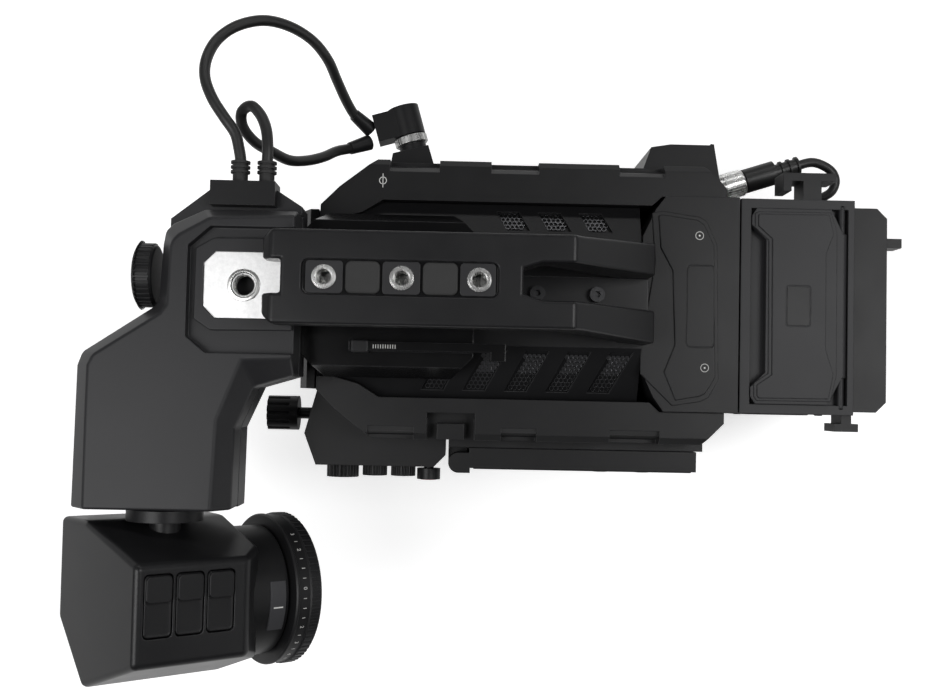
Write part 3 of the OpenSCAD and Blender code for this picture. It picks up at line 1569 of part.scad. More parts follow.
module battery_plate() {
  color("#232325")
  difference() {
    prism([
      [battery_x, -battery_w / 2], [battery_rear - battery_corner, -battery_w / 2],
      [battery_rear, -battery_w / 2 + battery_corner], [battery_rear, battery_w / 2 - battery_corner],
      [battery_rear - battery_corner, battery_w / 2], [battery_x, battery_w / 2]
    ], [battery_z, battery_z + battery_h]);
    end_prism(slot_outline(0), [battery_rear - slot_depth, battery_rear + over]);
    end_prism(slot_outline(slot_lip), [battery_rear - slot_depth, battery_rear - slot_lip_t]);
    block([release_x - move_gap, battery_rear + over],
        [battery_release_y - release_w / 2 - move_gap, battery_release_y + release_w / 2 + move_gap],
        [battery_release_z - catch_travel - move_gap, battery_release_z + release_h + move_gap]);
  }
}

module battery_release() {
  color("#1a1a1c")
  block([release_x, release_x + release_len],
      [battery_release_y - release_w / 2, battery_release_y + release_w / 2],
      [battery_release_z, battery_release_z + release_h]);
}

module evf_lock_knob() {
  color("#202022") {
    rod_x([lock_face_x - lock_gap - lock_knob_t, lock_face_x - lock_gap], lock_knob_y, lock_knob_z,
        lock_knob_r);
    rod_x([lock_face_x - lock_gap - lock_knob_t / 2, lock_face_x + arm_len * 0.15], lock_knob_y, lock_knob_z,
        lock_shaft_r);
  }
}
lock_knob_t = 9;

// Viewfinder pieces are drawn level about the hinge, then leaned back together
module evf_frame()
  translate([-evf_hinge_x, -evf_y, evf_hinge_z])
    rotate([0, evf_lean, 0])
      children();

// Cross-section in shares of the half height: towards the arm, and up
evf_section_shares = [
  [0.98, -1], [0.98, -0.3], [0.58, 1], [-0.63, 1], [-1.08, -0.3], [-0.3, -1]
];
evf_inner_shares = [
  [0.9, -0.93], [0.9, -0.3], [0.56, 0.8], [-0.6, 0.8], [-1, -0.3], [-0.28, -0.93]
];
front_rake = 7;
top_chamfer = 10;
rocker_len = 26;
rocker_w = 12.5;
rocker_pitch = 14;
rocker_rise = 0.8;
rocker_depth = 5;
rocker_front_x = -17;
rocker_x = [for (i = [0:2]) rocker_front_x + i * rocker_pitch];
rocker_y = 3;
rocker_slant = 3;
barrel_len = 14;

module evf_body(shares, front, rear)
  intersection() {
    end_prism([for (s = shares) s * evf_half_h], [-front - front_rake, rear]);
    side_prism([
      [-front - front_rake, -2 * evf_half_h], [rear, -2 * evf_half_h], [rear, evf_half_h - top_chamfer],
      [rear - top_chamfer, evf_half_h + over], [-front, evf_half_h + over], [-front - front_rake, -evf_half_h]
    ], [-2 * evf_half_h, 2 * evf_half_h]);
  }

module evf_housing() {
  color("#1e1e20")
  evf_frame()
    difference() {
      union() {
        evf_body(evf_section_shares, evf_front_len, evf_rear_len);
        rod_x([evf_rear_len - seam, evf_rear_len + barrel_len - move_gap], 0, 0, barrel_r);
        rod_x([evf_rear_len, evf_rear_len + barrel_len + focus_ring_len], 0, 0, barrel_r - ring_seat);
      }
      evf_body(evf_inner_shares, evf_front_len - evf_wall, evf_rear_len - evf_wall);
      rod_x([0, evf_rear_len + barrel_len + focus_ring_len + over], 0, 0, eye_lens_r);
      for (x = rocker_x)
        block([x - rocker_w / 2 - move_gap, x + rocker_w / 2 + move_gap],
            [rocker_y - rocker_len / 2 - move_gap, rocker_y + rocker_len / 2 + move_gap],
            [evf_half_h - rocker_depth, evf_half_h + over]);
      rod_y(0, [evf_half_h * 0.5, evf_half_h + over], 0, hinge_shaft_r);
    }
}
ring_seat = 4;

module evf_hinge_shaft() {
  color("silver")
  translate([-evf_hinge_x, 0, evf_hinge_z])
    union() {
      rod_y(0, [-evf_y + evf_half_h * 0.7, shaft_y[1]], 0, hinge_shaft_r);
      rod_y(0, [-evf_y + evf_half_h * evf_section_shares[0][0], arm_end_y - move_gap], 0,
          hinge_shaft_r * 2.4);
    }
}

module eyepiece_lens() {
  color([0.5, 0.6, 0.7, 0.6])
  evf_frame()
    intersection() {
      rod_x([lens_seat, lens_seat + eye_lens_t], 0, 0, eye_lens_r);
      translate([lens_seat + eye_lens_t - eye_dome_r, 0, 0])
        sphere(r = eye_dome_r, $fn = fine_fn);
    }
}
lens_seat = evf_rear_len + barrel_len - ring_seat;
eye_lens_t = 9;
eye_dome_r = 42;

module diopter_ring() {
  color("#141416")
  evf_frame()
    difference() {
      rod_x([evf_rear_len + barrel_len, evf_rear_len + barrel_len + focus_ring_len], 0, 0, focus_ring_r);
      rod_x([evf_rear_len + barrel_len - over, evf_rear_len + barrel_len + focus_ring_len + over], 0, 0,
          barrel_r - ring_seat + shaft_gap);
    }
}

// A rocker with its raised cap towards the arm and a low cap on the far side
module rocker(x)
  evf_frame()
    translate([x, rocker_y, evf_half_h])
      end_prism([
        [-rocker_len / 2, -rocker_depth + rocker_slant], [0, -rocker_depth + move_gap],
        [rocker_len / 2, -rocker_depth + rocker_slant], [rocker_len / 2, rocker_rise],
        [rocker_len * 0.1, rocker_rise], [rocker_len * 0.05, 0], [-rocker_len / 2, 0]
      ], [-rocker_w / 2, rocker_w / 2]);

module evf_rocker_front() {
  color("#303032") rocker(rocker_x[0]);
}

module evf_rocker_middle() {
  color("#303032") rocker(rocker_x[1]);
}

module evf_rocker_rear() {
  color("#303032") rocker(rocker_x[2]);
}

bottom_casing();
main_casing();
front_fascia();
lens_mount_ring();
socket_screws();
sensor_block();
main_circuit_board();
heat_sink();
top_casing();
right_rail_cover();
left_rail_cover();
rear_top_panel();
handle();
handle_inserts();
handle_pads();
handle_bracket();
evf_mount_plate();
arm_top_cover();
arm_bottom_shell();
cable_gland();
cable_boots();
evf_cable_a();
evf_cable_b();
evf_socket_block();
evf_plug();
side_control_panel();
xlr_block();
bnc_socket();
bnc_plug();
sdi_cable();
recorder_housing();
cable_cleats();
battery_plate();
ssd_drive();
lcd_hinge_bracket();
evf_hinge_shaft();
evf_housing();
eyepiece_lens();
diopter_ring();
evf_rocker_front();
evf_rocker_middle();
evf_rocker_rear();
evf_lock_knob();
nd_knob();
nd_idler_gear();
nd_filter_wheel();
lens_release_button();
lcd_panel();
record_button();
front_dial();
audio_knob_front();
audio_knob_rear();
lcd_button_front();
lcd_button_rear();
fan_rotor();
recorder_lid();
battery_release();
plug_lock_ring();
xlr_latch();
bnc_lock_ring();
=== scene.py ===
import bpy
from math import atan2, cos, degrees, hypot, pi, radians, sin
from mathutils import Matrix, Vector


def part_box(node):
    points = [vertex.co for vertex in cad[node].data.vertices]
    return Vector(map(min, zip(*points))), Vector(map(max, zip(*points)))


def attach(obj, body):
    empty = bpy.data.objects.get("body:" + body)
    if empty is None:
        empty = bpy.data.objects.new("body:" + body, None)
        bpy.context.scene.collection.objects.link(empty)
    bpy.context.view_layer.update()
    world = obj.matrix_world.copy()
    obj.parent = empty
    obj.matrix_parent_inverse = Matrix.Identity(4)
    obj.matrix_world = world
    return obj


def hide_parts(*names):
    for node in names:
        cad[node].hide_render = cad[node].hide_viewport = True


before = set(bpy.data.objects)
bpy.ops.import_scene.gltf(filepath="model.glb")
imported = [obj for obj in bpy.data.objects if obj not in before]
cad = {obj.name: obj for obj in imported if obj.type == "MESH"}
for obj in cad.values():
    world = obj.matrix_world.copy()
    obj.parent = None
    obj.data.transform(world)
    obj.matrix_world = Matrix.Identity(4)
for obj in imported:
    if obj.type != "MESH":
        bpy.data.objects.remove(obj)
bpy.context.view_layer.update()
mm = 0.001
upAxis = Vector((0, 0, 1))
print("frame loaded:", len(cad), "CAD nodes")

# camera

view = {
    "lensMm": 45.33,
    "sensorMm": 36,
    "nearest": 0.01,
    "place": (-0.0138, -0.0459, 0.695),
    "right": (0.99968, 0.02094, 0.01403),
    "up": (-0.02146, 0.99904, 0.03827),
}

bpy.ops.object.select_all(action="DESELECT")
bpy.ops.object.camera_add(location=view["place"])
camera = bpy.context.object
camera.name = "topCamera"
camera.data.lens = view["lensMm"]
camera.data.sensor_width = view["sensorMm"]
camera.data.clip_start = view["nearest"]
rightWay = Vector(view["right"]).normalized()
upWay = (Vector(view["up"]) - rightWay * Vector(view["up"]).dot(rightWay)).normalized()
turn = Matrix((rightWay, upWay, rightWay.cross(upWay))).transposed()
camera.matrix_world = Matrix.Translation(view["place"]) @ turn.to_4x4()
bpy.context.scene.camera = camera
bpy.context.scene.view_settings.view_transform = "Standard"
print("camera placed")


# modelling helpers

tube = (False, False)  # a turned piece without end faces
level = 0.98  # a normal this near to Z belongs to a level face, a face this near the rim to the rim


def toMode(kind):
    bpy.ops.object.mode_set(mode=kind)


def pickAll():
    bpy.ops.mesh.select_all(action="SELECT")


def extrude(rise):
    bpy.ops.mesh.extrude_region_move(TRANSFORM_OT_translate={"value": (0, 0, rise * mm)})


def named(name):  # names the piece just made
    bpy.context.object.name = name
    return bpy.context.object


def clearSelection():
    if bpy.context.object and bpy.context.object.mode != "OBJECT":
        toMode("OBJECT")
    bpy.ops.object.select_all(action="DESELECT")


def take(piece):
    clearSelection()
    piece.select_set(True)
    bpy.context.view_layer.objects.active = piece


def pickNone(piece, kind):
    take(piece)
    toMode("EDIT")
    bpy.ops.mesh.select_mode(type=kind)
    bpy.ops.mesh.select_all(action="DESELECT")
    toMode("OBJECT")


def pickFaces(piece, test):  # leaves edit mode on, with the faces that pass the test selected
    pickNone(piece, "FACE")
    for face in piece.data.polygons:
        face.select = bool(test(face.center, face.normal))
    toMode("EDIT")


def pickEdges(piece, test):  # test reads the two ends of an edge
    pickNone(piece, "EDGE")
    points = piece.data.vertices
    for edge in piece.data.edges:
        edge.select = bool(test(points[edge.vertices[0]].co, points[edge.vertices[1]].co))
    toMode("EDIT")


def bake(piece):  # the piece's place goes into its mesh
    take(piece)
    bpy.ops.object.transform_apply(location=True, rotation=True, scale=True)
    return piece


def placed(piece, matrix):
    piece.matrix_world = matrix @ piece.matrix_world
    return bake(piece)


def shift(x, y, z):  # in millimetres
    return Matrix.Translation(Vector((x, y, z)) * mm)


def tidyNormals(piece):
    take(piece)
    toMode("EDIT")
    pickAll()
    bpy.ops.mesh.remove_doubles(threshold=0.004 * mm)
    bpy.ops.mesh.normals_make_consistent(inside=False)
    toMode("OBJECT")


def modified(piece, kind, **settings):
    take(piece)
    change = piece.modifiers.new("change", kind)
    for key, value in settings.items():
        setattr(change, key, value)
    bpy.ops.object.modifier_apply(modifier=change.name)


def soften(piece, width, segments=2, angle=30):
    modified(piece, "BEVEL", width=width * mm, segments=segments, limit_method="ANGLE",
             angle_limit=radians(angle), harden_normals=False)


def boxPiece(name, low, high, corner=0, edge=0, cornerSteps=5, edgeSteps=2):
    clearSelection()
    low, high = Vector(low) * mm, Vector(high) * mm
    bpy.ops.mesh.primitive_cube_add(size=1, location=(low + high) / 2)
    piece = named(name)
    piece.scale = high - low
    bake(piece)
    if corner:  # the upright edges
        pickEdges(piece, lambda a, b: abs(a.z - b.z) > abs(a.x - b.x) + abs(a.y - b.y))
        bpy.ops.mesh.bevel(offset=corner * mm, segments=cornerSteps)
        toMode("OBJECT")
    if edge:
        soften(piece, edge, edgeSteps)
    return piece


def outlinePiece(name, outline, low, high, edge=0, edgeSteps=2):  # an outline in X and Y, from low to high
    clearSelection()
    bpy.ops.mesh.primitive_circle_add(vertices=len(outline), radius=0.01, fill_type="NGON")
    piece = named(name)
    area = sum(a[0] * b[1] - b[0] * a[1] for a, b in zip(outline, outline[1:] + outline[:1]))
    corners = outline if area > 0 else outline[::-1]
    for vertex, corner in zip(piece.data.vertices, corners):
        vertex.co = (corner[0] * mm, corner[1] * mm, low * mm)
    take(piece)
    toMode("EDIT")
    pickAll()
    extrude(high - low)
    pickAll()
    bpy.ops.mesh.normals_make_consistent(inside=False)
    toMode("OBJECT")
    if edge:
        soften(piece, edge, edgeSteps)
    return piece


def turnedPiece(name, rings, sides=48, closed=(True, True)):  # rings of radius and height around Z
    clearSelection()
    radius, height = rings[0]
    fill, place = "NGON" if closed[0] else "NOTHING", (0, 0, height * mm)
    bpy.ops.mesh.primitive_circle_add(vertices=sides, radius=radius * mm, location=place, fill_type=fill)
    piece = bake(bpy.context.object)
    piece.name = name
    toMode("EDIT")
    bpy.ops.mesh.select_mode(type="EDGE")
    pickAll()
    for (lastRadius, lastHeight), (radius, height) in zip(rings, rings[1:]):
        extrude(height - lastHeight)
        if radius != lastRadius:
            share = radius / lastRadius
            bpy.ops.transform.resize(value=(share, share, 1), center_override=(0, 0, height * mm))
    if closed[1] and not closed[0]:
        bpy.ops.mesh.edge_face_add()
    toMode("OBJECT")
    tidyNormals(piece)
    return piece


def aim(piece, place, way):  # turns the piece's own Z to a direction, and moves its origin to a place
    spin = upAxis.rotation_difference(Vector(way).normalized())
    piece.matrix_world = Matrix.Translation(Vector(place) * mm) @ spin.to_matrix().to_4x4()
    return bake(piece)


def cutWith(piece, cutter, kind="DIFFERENCE"):
    modified(piece, "BOOLEAN", operation=kind, object=cutter, solver="EXACT")
    bpy.data.objects.remove(cutter)
    return piece


def joined(name, pieces):
    take(pieces[0])
    for piece in pieces:
        piece.select_set(True)
    bpy.ops.object.join()
    return named(name)


def copied(piece, offset):  # a twin, moved in millimetres
    take(piece)
    bpy.ops.object.duplicate()
    twin = bpy.context.object
    twin.location = Vector(offset) * mm
    return bake(twin)


def sunk(piece, test, border, depth):  # the picked faces get a border and move along Z
    pickFaces(piece, test)
    bpy.ops.mesh.inset(thickness=border * mm)
    bpy.ops.transform.translate(value=(0, 0, depth * mm))
    toMode("OBJECT")


def keepSector(piece, middle, spread):  # drops the faces outside a sector around Z, in degrees
    def outside(center, normal):
        angle = degrees(atan2(center.y, center.x))
        return abs((angle - middle + 180) % 360 - 180) > spread / 2

    pickFaces(piece, outside)
    bpy.ops.mesh.delete(type="FACE")
    toMode("OBJECT")


def flatRing(name, inner, outer, rise):
    rings = [(inner, 0), (inner, rise), (outer, rise), (outer, 0)]
    return turnedPiece(name, rings, 40, tube)


def threadRings(radii, low, pitch, turns):
    rings = []
    for index in range(turns):
        height = low + index * pitch
        rings += [(radii[0], height), (radii[1], height + pitch / 2)]
    return rings


def drilled(piece, radius, x, y, low, high):
    drill = turnedPiece("drill", [(radius, low), (radius, high)], 48)
    return cutWith(piece, placed(drill, shift(x, y, 0)))


def finished(piece, finish, smooth=32, standsFor=(), body="camera_body"):
    take(piece)
    if smooth:
        bpy.ops.object.shade_smooth_by_angle(angle=radians(smooth))
        modified(piece, "WEIGHTED_NORMAL", keep_sharp=True)
    piece.data.materials.clear()
    piece.data.materials.append(finish)
    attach(piece, body)
    if standsFor:
        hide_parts(*standsFor)
    return piece


# material helpers

class Link:  # a socket that can be used in a sum
    def __init__(self, recipe, socket):
        self.recipe, self.socket = recipe, socket

    def math(self, operation, first, second):
        return self.recipe.node("Math", {"operation": operation}, {0: first, 1: second})[0]

    def __add__(self, other):
        return self.math("ADD", self, other)

    def __sub__(self, other):
        return self.math("SUBTRACT", self, other)

    def __rsub__(self, other):
        return self.math("SUBTRACT", other, self)

    def __mul__(self, other):
        return self.math("MULTIPLY", self, other)

    def least(self, other):
        return self.math("MINIMUM", self, other)

    def ramp(self, low, high, fromLow=0.0, fromHigh=1.0):
        values = {0: self, 1: fromLow, 2: fromHigh, 3: low, 4: high}
        return self.recipe.node("MapRange", {"clamp": True}, values)[0]


class Recipe:  # a material's node tree
    def __init__(self, owner):
        self.material = bpy.data.materials.new(owner) if isinstance(owner, str) else owner
        self.material.use_nodes = True
        self.tree = self.material.node_tree
        self.tree.nodes.clear()
        self.place = self.node("TexCoord")["Object"]

    def node(self, kind, settings=None, values=None):
        made = self.tree.nodes.new("ShaderNode" + kind)
        for key, value in (settings or {}).items():
            setattr(made, key, value)
        for key, value in (values or {}).items():
            socket = made.inputs[key]
            if isinstance(value, Link):
                self.tree.links.new(value.socket, socket)
            else:
                socket.default_value = value
        return Outputs(self, made)

    def noise(self, scale, detail, rough, place=None):
        values = {"Vector": place or self.place, "Scale": scale, "Detail": detail, "Roughness": rough}
        return self.node("TexNoise", None, values)["Fac"]

    def mix(self, share, first, second):
        return self.node("Mix", {"data_type": "RGBA"}, {0: share, 6: first, 7: second})[2]

    def edges(self, radius):  # 0 on a flat, towards 1 on a rounded edge, and the rounded normal
        rounded = self.node("Bevel", {"samples": 6}, {"Radius": radius * mm})["Normal"]
        flat = self.node("NewGeometry")["Normal"]
        same = self.node("VectorMath", {"operation": "DOT_PRODUCT"}, {0: rounded, 1: flat})["Value"]
        return 1 - same, rounded

    def bump(self, strength, distance, height, normal=None):
        values = {"Strength": strength, "Distance": distance * mm, "Height": height}
        if normal:
            values["Normal"] = normal
        return self.node("Bump", None, values)["Normal"]

    def finish(self, **values):
        inputs = {key.replace("_", " "): value for key, value in values.items()}
        shader = self.node("BsdfPrincipled", None, inputs)
        self.node("OutputMaterial", None, {"Surface": shader["BSDF"]})
        return self.material


class Outputs:  # a node's sockets by name or number
    def __init__(self, recipe, made):
        self.recipe, self.made = recipe, made

    def __getitem__(self, key):
        return Link(self.recipe, self.made.outputs[key])


def rgb(*values):
    return (*values, 1)


# finishes

coat = {
    "casing": dict(shade=0.009, rough=0.36, grain=0.08, radius=0.5),
    "handle": dict(shade=0.012, rough=0.31, grain=0.03, radius=0.8),
    "arm": dict(shade=0.022, rough=0.4, grain=0.06, radius=0.6),
    "trim": dict(shade=0.010, rough=0.38, grain=0.06, radius=0.3),
    "deck": dict(shade=0.005, rough=0.18, grain=0.01, radius=0.8),
    "tab": dict(shade=0.045, rough=0.45, grain=0.05, radius=0.3),
}
# the wear and rub keys set a lighter colour along rounded edges, partly edge wear and partly a painted
# highlight for the light the bevels catch
coatLook = {
    "blue": 1.08, "wearGain": 3.2, "wearShare": 0.75, "worn": 0.07, "wornBlue": 0.004, "wornGloss": 0.08,
    "clouds": 45, "cloudShare": 0.35, "cloudShade": 1.5, "cloudBlue": 1.56, "cloudRough": (-0.04, 0.06),
    "specks": 2600, "speckRough": 0.02, "rubs": 240, "rubLeast": 0.4, "depthMm": 0.2, "specular": 0.24,
}


def coatFinish(name, shade, rough, grain, radius):
    r, look = Recipe(name), coatLook
    edge, soft = r.edges(radius)
    # painted highlight: the edge mask mixes the base colour towards a lighter one on rounded edges, partly
    # real wear, partly painted highlight
    wearAndHighlight = (edge * look["wearGain"]).least(1.0)
    cloud = r.noise(look["clouds"], 4, 0.55)
    speck = r.noise(look["specks"], 2, 0.6)
    rubAndHighlight = wearAndHighlight * r.noise(look["rubs"], 3, 0.7).ramp(look["rubLeast"], 1, 0.35, 0.7)
    worn = shade * 2 + look["worn"]
    fresh = rgb(shade, shade, shade * look["blue"])
    base = r.mix(rubAndHighlight * look["wearShare"], fresh, rgb(worn, worn, worn + look["wornBlue"]))
    dusty = rgb(shade * look["cloudShade"], shade * look["cloudShade"], shade * look["cloudBlue"])
    tone = r.mix(cloud.ramp(0, look["cloudShare"], 0.4, 0.75), base, dusty)
    low, high = look["cloudRough"]
    gloss = cloud.ramp(rough + low, rough + high) - rubAndHighlight * look["wornGloss"]
    gloss = gloss + speck.ramp(-look["speckRough"], look["speckRough"])
    bump = r.bump(grain, look["depthMm"], speck, soft)
    return r.finish(Base_Color=tone, Roughness=gloss, Normal=bump, Specular_IOR_Level=look["specular"])


casingBlack = coatFinish("casingCoat", **coat["casing"])
handleBlack = coatFinish("handleCoat", **coat["handle"])
trimBlack = coatFinish("trimPlastic", **coat["trim"])
deckBlack = coatFinish("deckGloss", **coat["deck"])
armBlack = coatFinish("armSatin", **coat["arm"])
tabGrey = coatFinish("tabPlastic", **coat["tab"])

rubberLook = {
    "soft": dict(shade=0.012, rough=0.62, pores=1800),
    "cord": dict(shade=0.010, rough=0.42, pores=1400),
    "dust": 70, "dustShare": 0.6, "dustRough": (-0.07, 0.08), "grain": 0.12, "depthMm": 0.3,
}


def rubberFinish(name, shade, rough, pores):
    r = Recipe(name)
    dust = r.noise(rubberLook["dust"], 5, 0.6)
    pits = r.noise(pores, 3, 0.6)
    dusty = rgb(shade * 2, shade * 2, shade * 2)
    tone = r.mix(dust.ramp(0, rubberLook["dustShare"], 0.45, 0.8), rgb(shade, shade, shade), dusty)
    low, high = rubberLook["dustRough"]
    bump = r.bump(rubberLook["grain"], rubberLook["depthMm"], pits)
    return r.finish(Base_Color=tone, Roughness=dust.ramp(rough + low, rough + high), Normal=bump)


rubber = rubberFinish("softRubber", **rubberLook["soft"])
cordRubber = rubberFinish("cordJacket", **rubberLook["cord"])

metals = {
    "bright": dict(shade=(0.80, 0.80, 0.79), rough=0.26, stretch=(1, 0.08, 1), radius=0.25, streak=0.3),
    "plate": dict(shade=(0.86, 0.86, 0.86), rough=0.42, radius=0.4, streak=0.12),
    "bare": dict(shade=(0.60, 0.60, 0.61), rough=0.36, stretch=(1, 1, 0.1), radius=0.25, streak=0.3),
    "screw": dict(shade=(0.05, 0.05, 0.052), rough=0.3, radius=0.2, streak=0.3),
    "brass": dict(shade=(0.62, 0.44, 0.16), rough=0.3, radius=0.1, streak=0.25),
    "vent": dict(shade=(0.22, 0.22, 0.23), rough=0.34, radius=0.1, streak=0.3),
}
metalLook = {
    "lines": 600, "lineRough": (-0.06, 0.08), "clouds": 60, "cloudRough": (-0.04, 0.06), "grain": 0.08,
    "depthMm": 0.2,
}


def metalFinish(name, shade, rough, radius, streak, stretch=(1, 1, 1)):
    r, look = Recipe(name), metalLook
    soft = r.edges(radius)[1]
    drawn = r.node("Mapping", {"vector_type": "POINT"}, {"Vector": r.place, "Scale": stretch})["Vector"]
    lines = r.noise(look["lines"], 4, 0.65, drawn)
    cloud = r.noise(look["clouds"], 4, 0.5)
    dark = tuple(value * (1 - streak) for value in shade)
    tone = r.mix(lines.ramp(0, 1, 0.3, 0.7), rgb(*shade), rgb(*dark))
    low, high = look["lineRough"]
    gloss = lines.ramp(rough + low, rough + high) + cloud.ramp(*look["cloudRough"])
    bump = r.bump(look["grain"], look["depthMm"], lines, soft)
    return r.finish(Base_Color=tone, Metallic=1.0, Roughness=gloss, Normal=bump)


brightMetal = metalFinish("brightMetal", **metals["bright"])
plateMetal = metalFinish("blastedPlate", **metals["plate"])
bareAluminium = metalFinish("bareAluminium", **metals["bare"])
screwSteel = metalFinish("darkScrews", **metals["screw"])
brass = metalFinish("gearBrass", **metals["brass"])
ventSteel = metalFinish("ventSteel", **metals["vent"])

plainLook = {"clouds": 90, "cloudShare": 0.7, "dim": 0.7, "lift": 0.004, "cloudRough": (-0.05, 0.07)}


def plainFinish(name, shade, rough, **more):
    r, look = Recipe(name), plainLook
    cloud = r.noise(look["clouds"], 4, 0.55)
    other = tuple(value * look["dim"] + look["lift"] for value in shade)
    tone = r.mix(cloud.ramp(0, look["cloudShare"], 0.35, 0.75), rgb(*shade), rgb(*other))
    low, high = look["cloudRough"]
    return r.finish(Base_Color=tone, Roughness=cloud.ramp(rough + low, rough + high), **more)


recordRed = plainFinish("recordRed", (0.42, 0.015, 0.012), 0.3)
markWhite = plainFinish("markWhite", (0.72, 0.72, 0.70), 0.5)
screenGlass = plainFinish("screenGlass", (0.006, 0.007, 0.009), 0.06, Coat_Weight=0.6)
sensorGlass = plainFinish("sensorGlass", (0.03, 0.012, 0.022), 0.08, Coat_Weight=0.8)
lensCoating = plainFinish("lensCoating", (0.012, 0.014, 0.03), 0.05, Coat_Weight=1.0)
boardGreen = plainFinish("boardGreen", (0.01, 0.09, 0.035), 0.35)

nodeFinish = [  # each finish and the CAD nodes that wear it
    (casingBlack, "bottom_casing main_casing front_fascia top_casing right_rail_cover left_rail_cover "
                  "evf_housing rear_top_panel side_control_panel xlr_block lcd_panel"),
    (deckBlack, "handle_bracket"),
    (handleBlack, "handle"),
    (armBlack, "arm_top_cover arm_bottom_shell recorder_housing recorder_lid"),
    (trimBlack, "cable_gland evf_socket_block evf_plug cable_cleats battery_plate battery_release xlr_latch "
                "lcd_hinge_bracket evf_rocker_front evf_rocker_middle evf_rocker_rear lcd_button_front "
                "lcd_button_rear evf_hinge_shaft record_button fan_rotor diopter_ring evf_lock_knob nd_knob "
                "front_dial audio_knob_front audio_knob_rear"),
    (brightMetal, "lens_mount_ring handle_inserts bnc_socket bnc_lock_ring plug_lock_ring "
                  "lens_release_button"),
    (plateMetal, "evf_mount_plate"),
    (bareAluminium, "heat_sink ssd_drive nd_filter_wheel"),
    (screwSteel, "socket_screws"),
    (brass, "nd_idler_gear"),
    (rubber, "handle_pads cable_boots"),
    (cordRubber, "evf_cable_a evf_cable_b sdi_cable bnc_plug"),
    (sensorGlass, "sensor_block"),
    (lensCoating, "eyepiece_lens"),
    (boardGreen, "main_circuit_board"),
]
for finish, names in nodeFinish:
    for node in names.split():
        mesh = cad[node].data
        mesh.materials.clear()
        mesh.materials.append(finish)
print("finishes made")

# cords

cordSets = {
    "viewfinderCableA": dict(
        node="evf_cable_a", diameter=5.2, start=(0, 6, 0), end=(4, -3, -3),
        points=[(-111, 58, 164), (-112, 64, 164), (-114, 71, 164), (-119, 78, 164), (-125, 87, 163),
                (-129, 97, 161), (-129, 107, 158), (-125, 117, 154), (-117, 125, 149), (-106, 130, 142),
                (-95, 130, 134), (-85, 126, 126), (-78, 119, 118), (-74, 111, 109), (-70, 103, 101),
                (-66, 97, 95)]),
    "viewfinderCableB": dict(
        node="evf_cable_b", diameter=5.2, start=(0, 6, 0), end=(6, 3, -4),
        points=[(-99, 58, 164), (-99, 65, 164), (-100, 73, 163), (-103, 80, 161), (-108, 85, 158),
                (-113, 83, 154), (-113, 77, 150), (-108, 71, 145), (-101, 68, 138), (-94, 66, 129),
                (-87, 68, 119), (-80, 72, 109), (-74, 77, 100), (-68, 80, 93)]),
    "recorderCable": dict(
        node="sdi_cable", diameter=5, start=(5.71, 1.85, 0), end=(0, -4, 0),
        points=[(169.03, 80.21, 75), (176, 82, 75.5), (182, 80.5, 76), (187, 77, 76), (189, 72, 75.5),
                (187.5, 67, 74.5), (183.5, 64, 73), (179, 62, 71.5), (176.5, 60, 70.5), (176, 57, 70)]),
}


def smoothRoute(points, start, end, steps=6):  # a curve through the points; start and end give its last ways
    stops = [Vector(p) for p in points]
    stops = [stops[0] - Vector(start)] + stops + [stops[-1] + Vector(end)]
    route = []
    for a, b, c, d in zip(stops, stops[1:], stops[2:], stops[3:]):
        for step in range(steps):
            t = step / steps
            square, cube = 2 * a - 5 * b + 4 * c - d, 3 * b - a - 3 * c + d
            route.append(0.5 * (2 * b + (c - a) * t + square * t * t + cube * t ** 3))
    return route + [stops[-2]]


def cordPiece(name, facts):
    route = smoothRoute(facts["points"], facts["start"], facts["end"])
    line = bpy.data.curves.new(name, "CURVE")
    line.dimensions = "3D"
    line.bevel_depth = facts["diameter"] / 2 * mm
    line.bevel_resolution = 4
    line.use_fill_caps = True
    spline = line.splines.new("POLY")
    spline.points.add(len(route) - 1)
    for point, at in zip(spline.points, route):
        point.co = (*(at * mm), 1)
    spline.use_smooth = True
    piece = bpy.data.objects.new(name, line)
    bpy.context.scene.collection.objects.link(piece)
    line.materials.append(cordRubber)
    length = sum((b - a).length for a, b in zip(route, route[1:]))
    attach(piece, "camera_body")
    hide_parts(facts["node"])
    route[0] * mm
    print(name, "is", round(length), "mm long")


for name, facts in cordSets.items():
    cordPiece(name, facts)

# modelled pieces on the body

def knurled(name, rings, sides, band, depth, odd=0, closed=(True, True)):
    piece = turnedPiece(name, rings, sides, closed)
    widest = max(radius for radius, height in rings) * mm * cos(pi / sides)

    def raised(center, normal):  # every other face within the band of heights stands out
        step = int((atan2(center.y, center.x) / (2 * pi) + 1) * sides) % 2
        wide = hypot(center.x, center.y) > widest * level
        return step == odd and wide and band[0] * mm < center.z < band[1] * mm

    pickFaces(piece, raised)
    bpy.ops.mesh.extrude_region_shrink_fatten(TRANSFORM_OT_shrink_fatten={"value": depth * mm})
    toMode("OBJECT")
    return piece


def wordPiece(name, word, height, thick=0.06):
    clearSelection()
    bpy.ops.object.text_add()
    piece = named(name)
    piece.data.body = word
    piece.data.size = height * mm
    piece.data.extrude = thick / 2 * mm
    piece.data.align_x = "CENTER"
    piece.data.align_y = "CENTER"
    bpy.ops.object.convert(target="MESH")
    return bpy.context.object


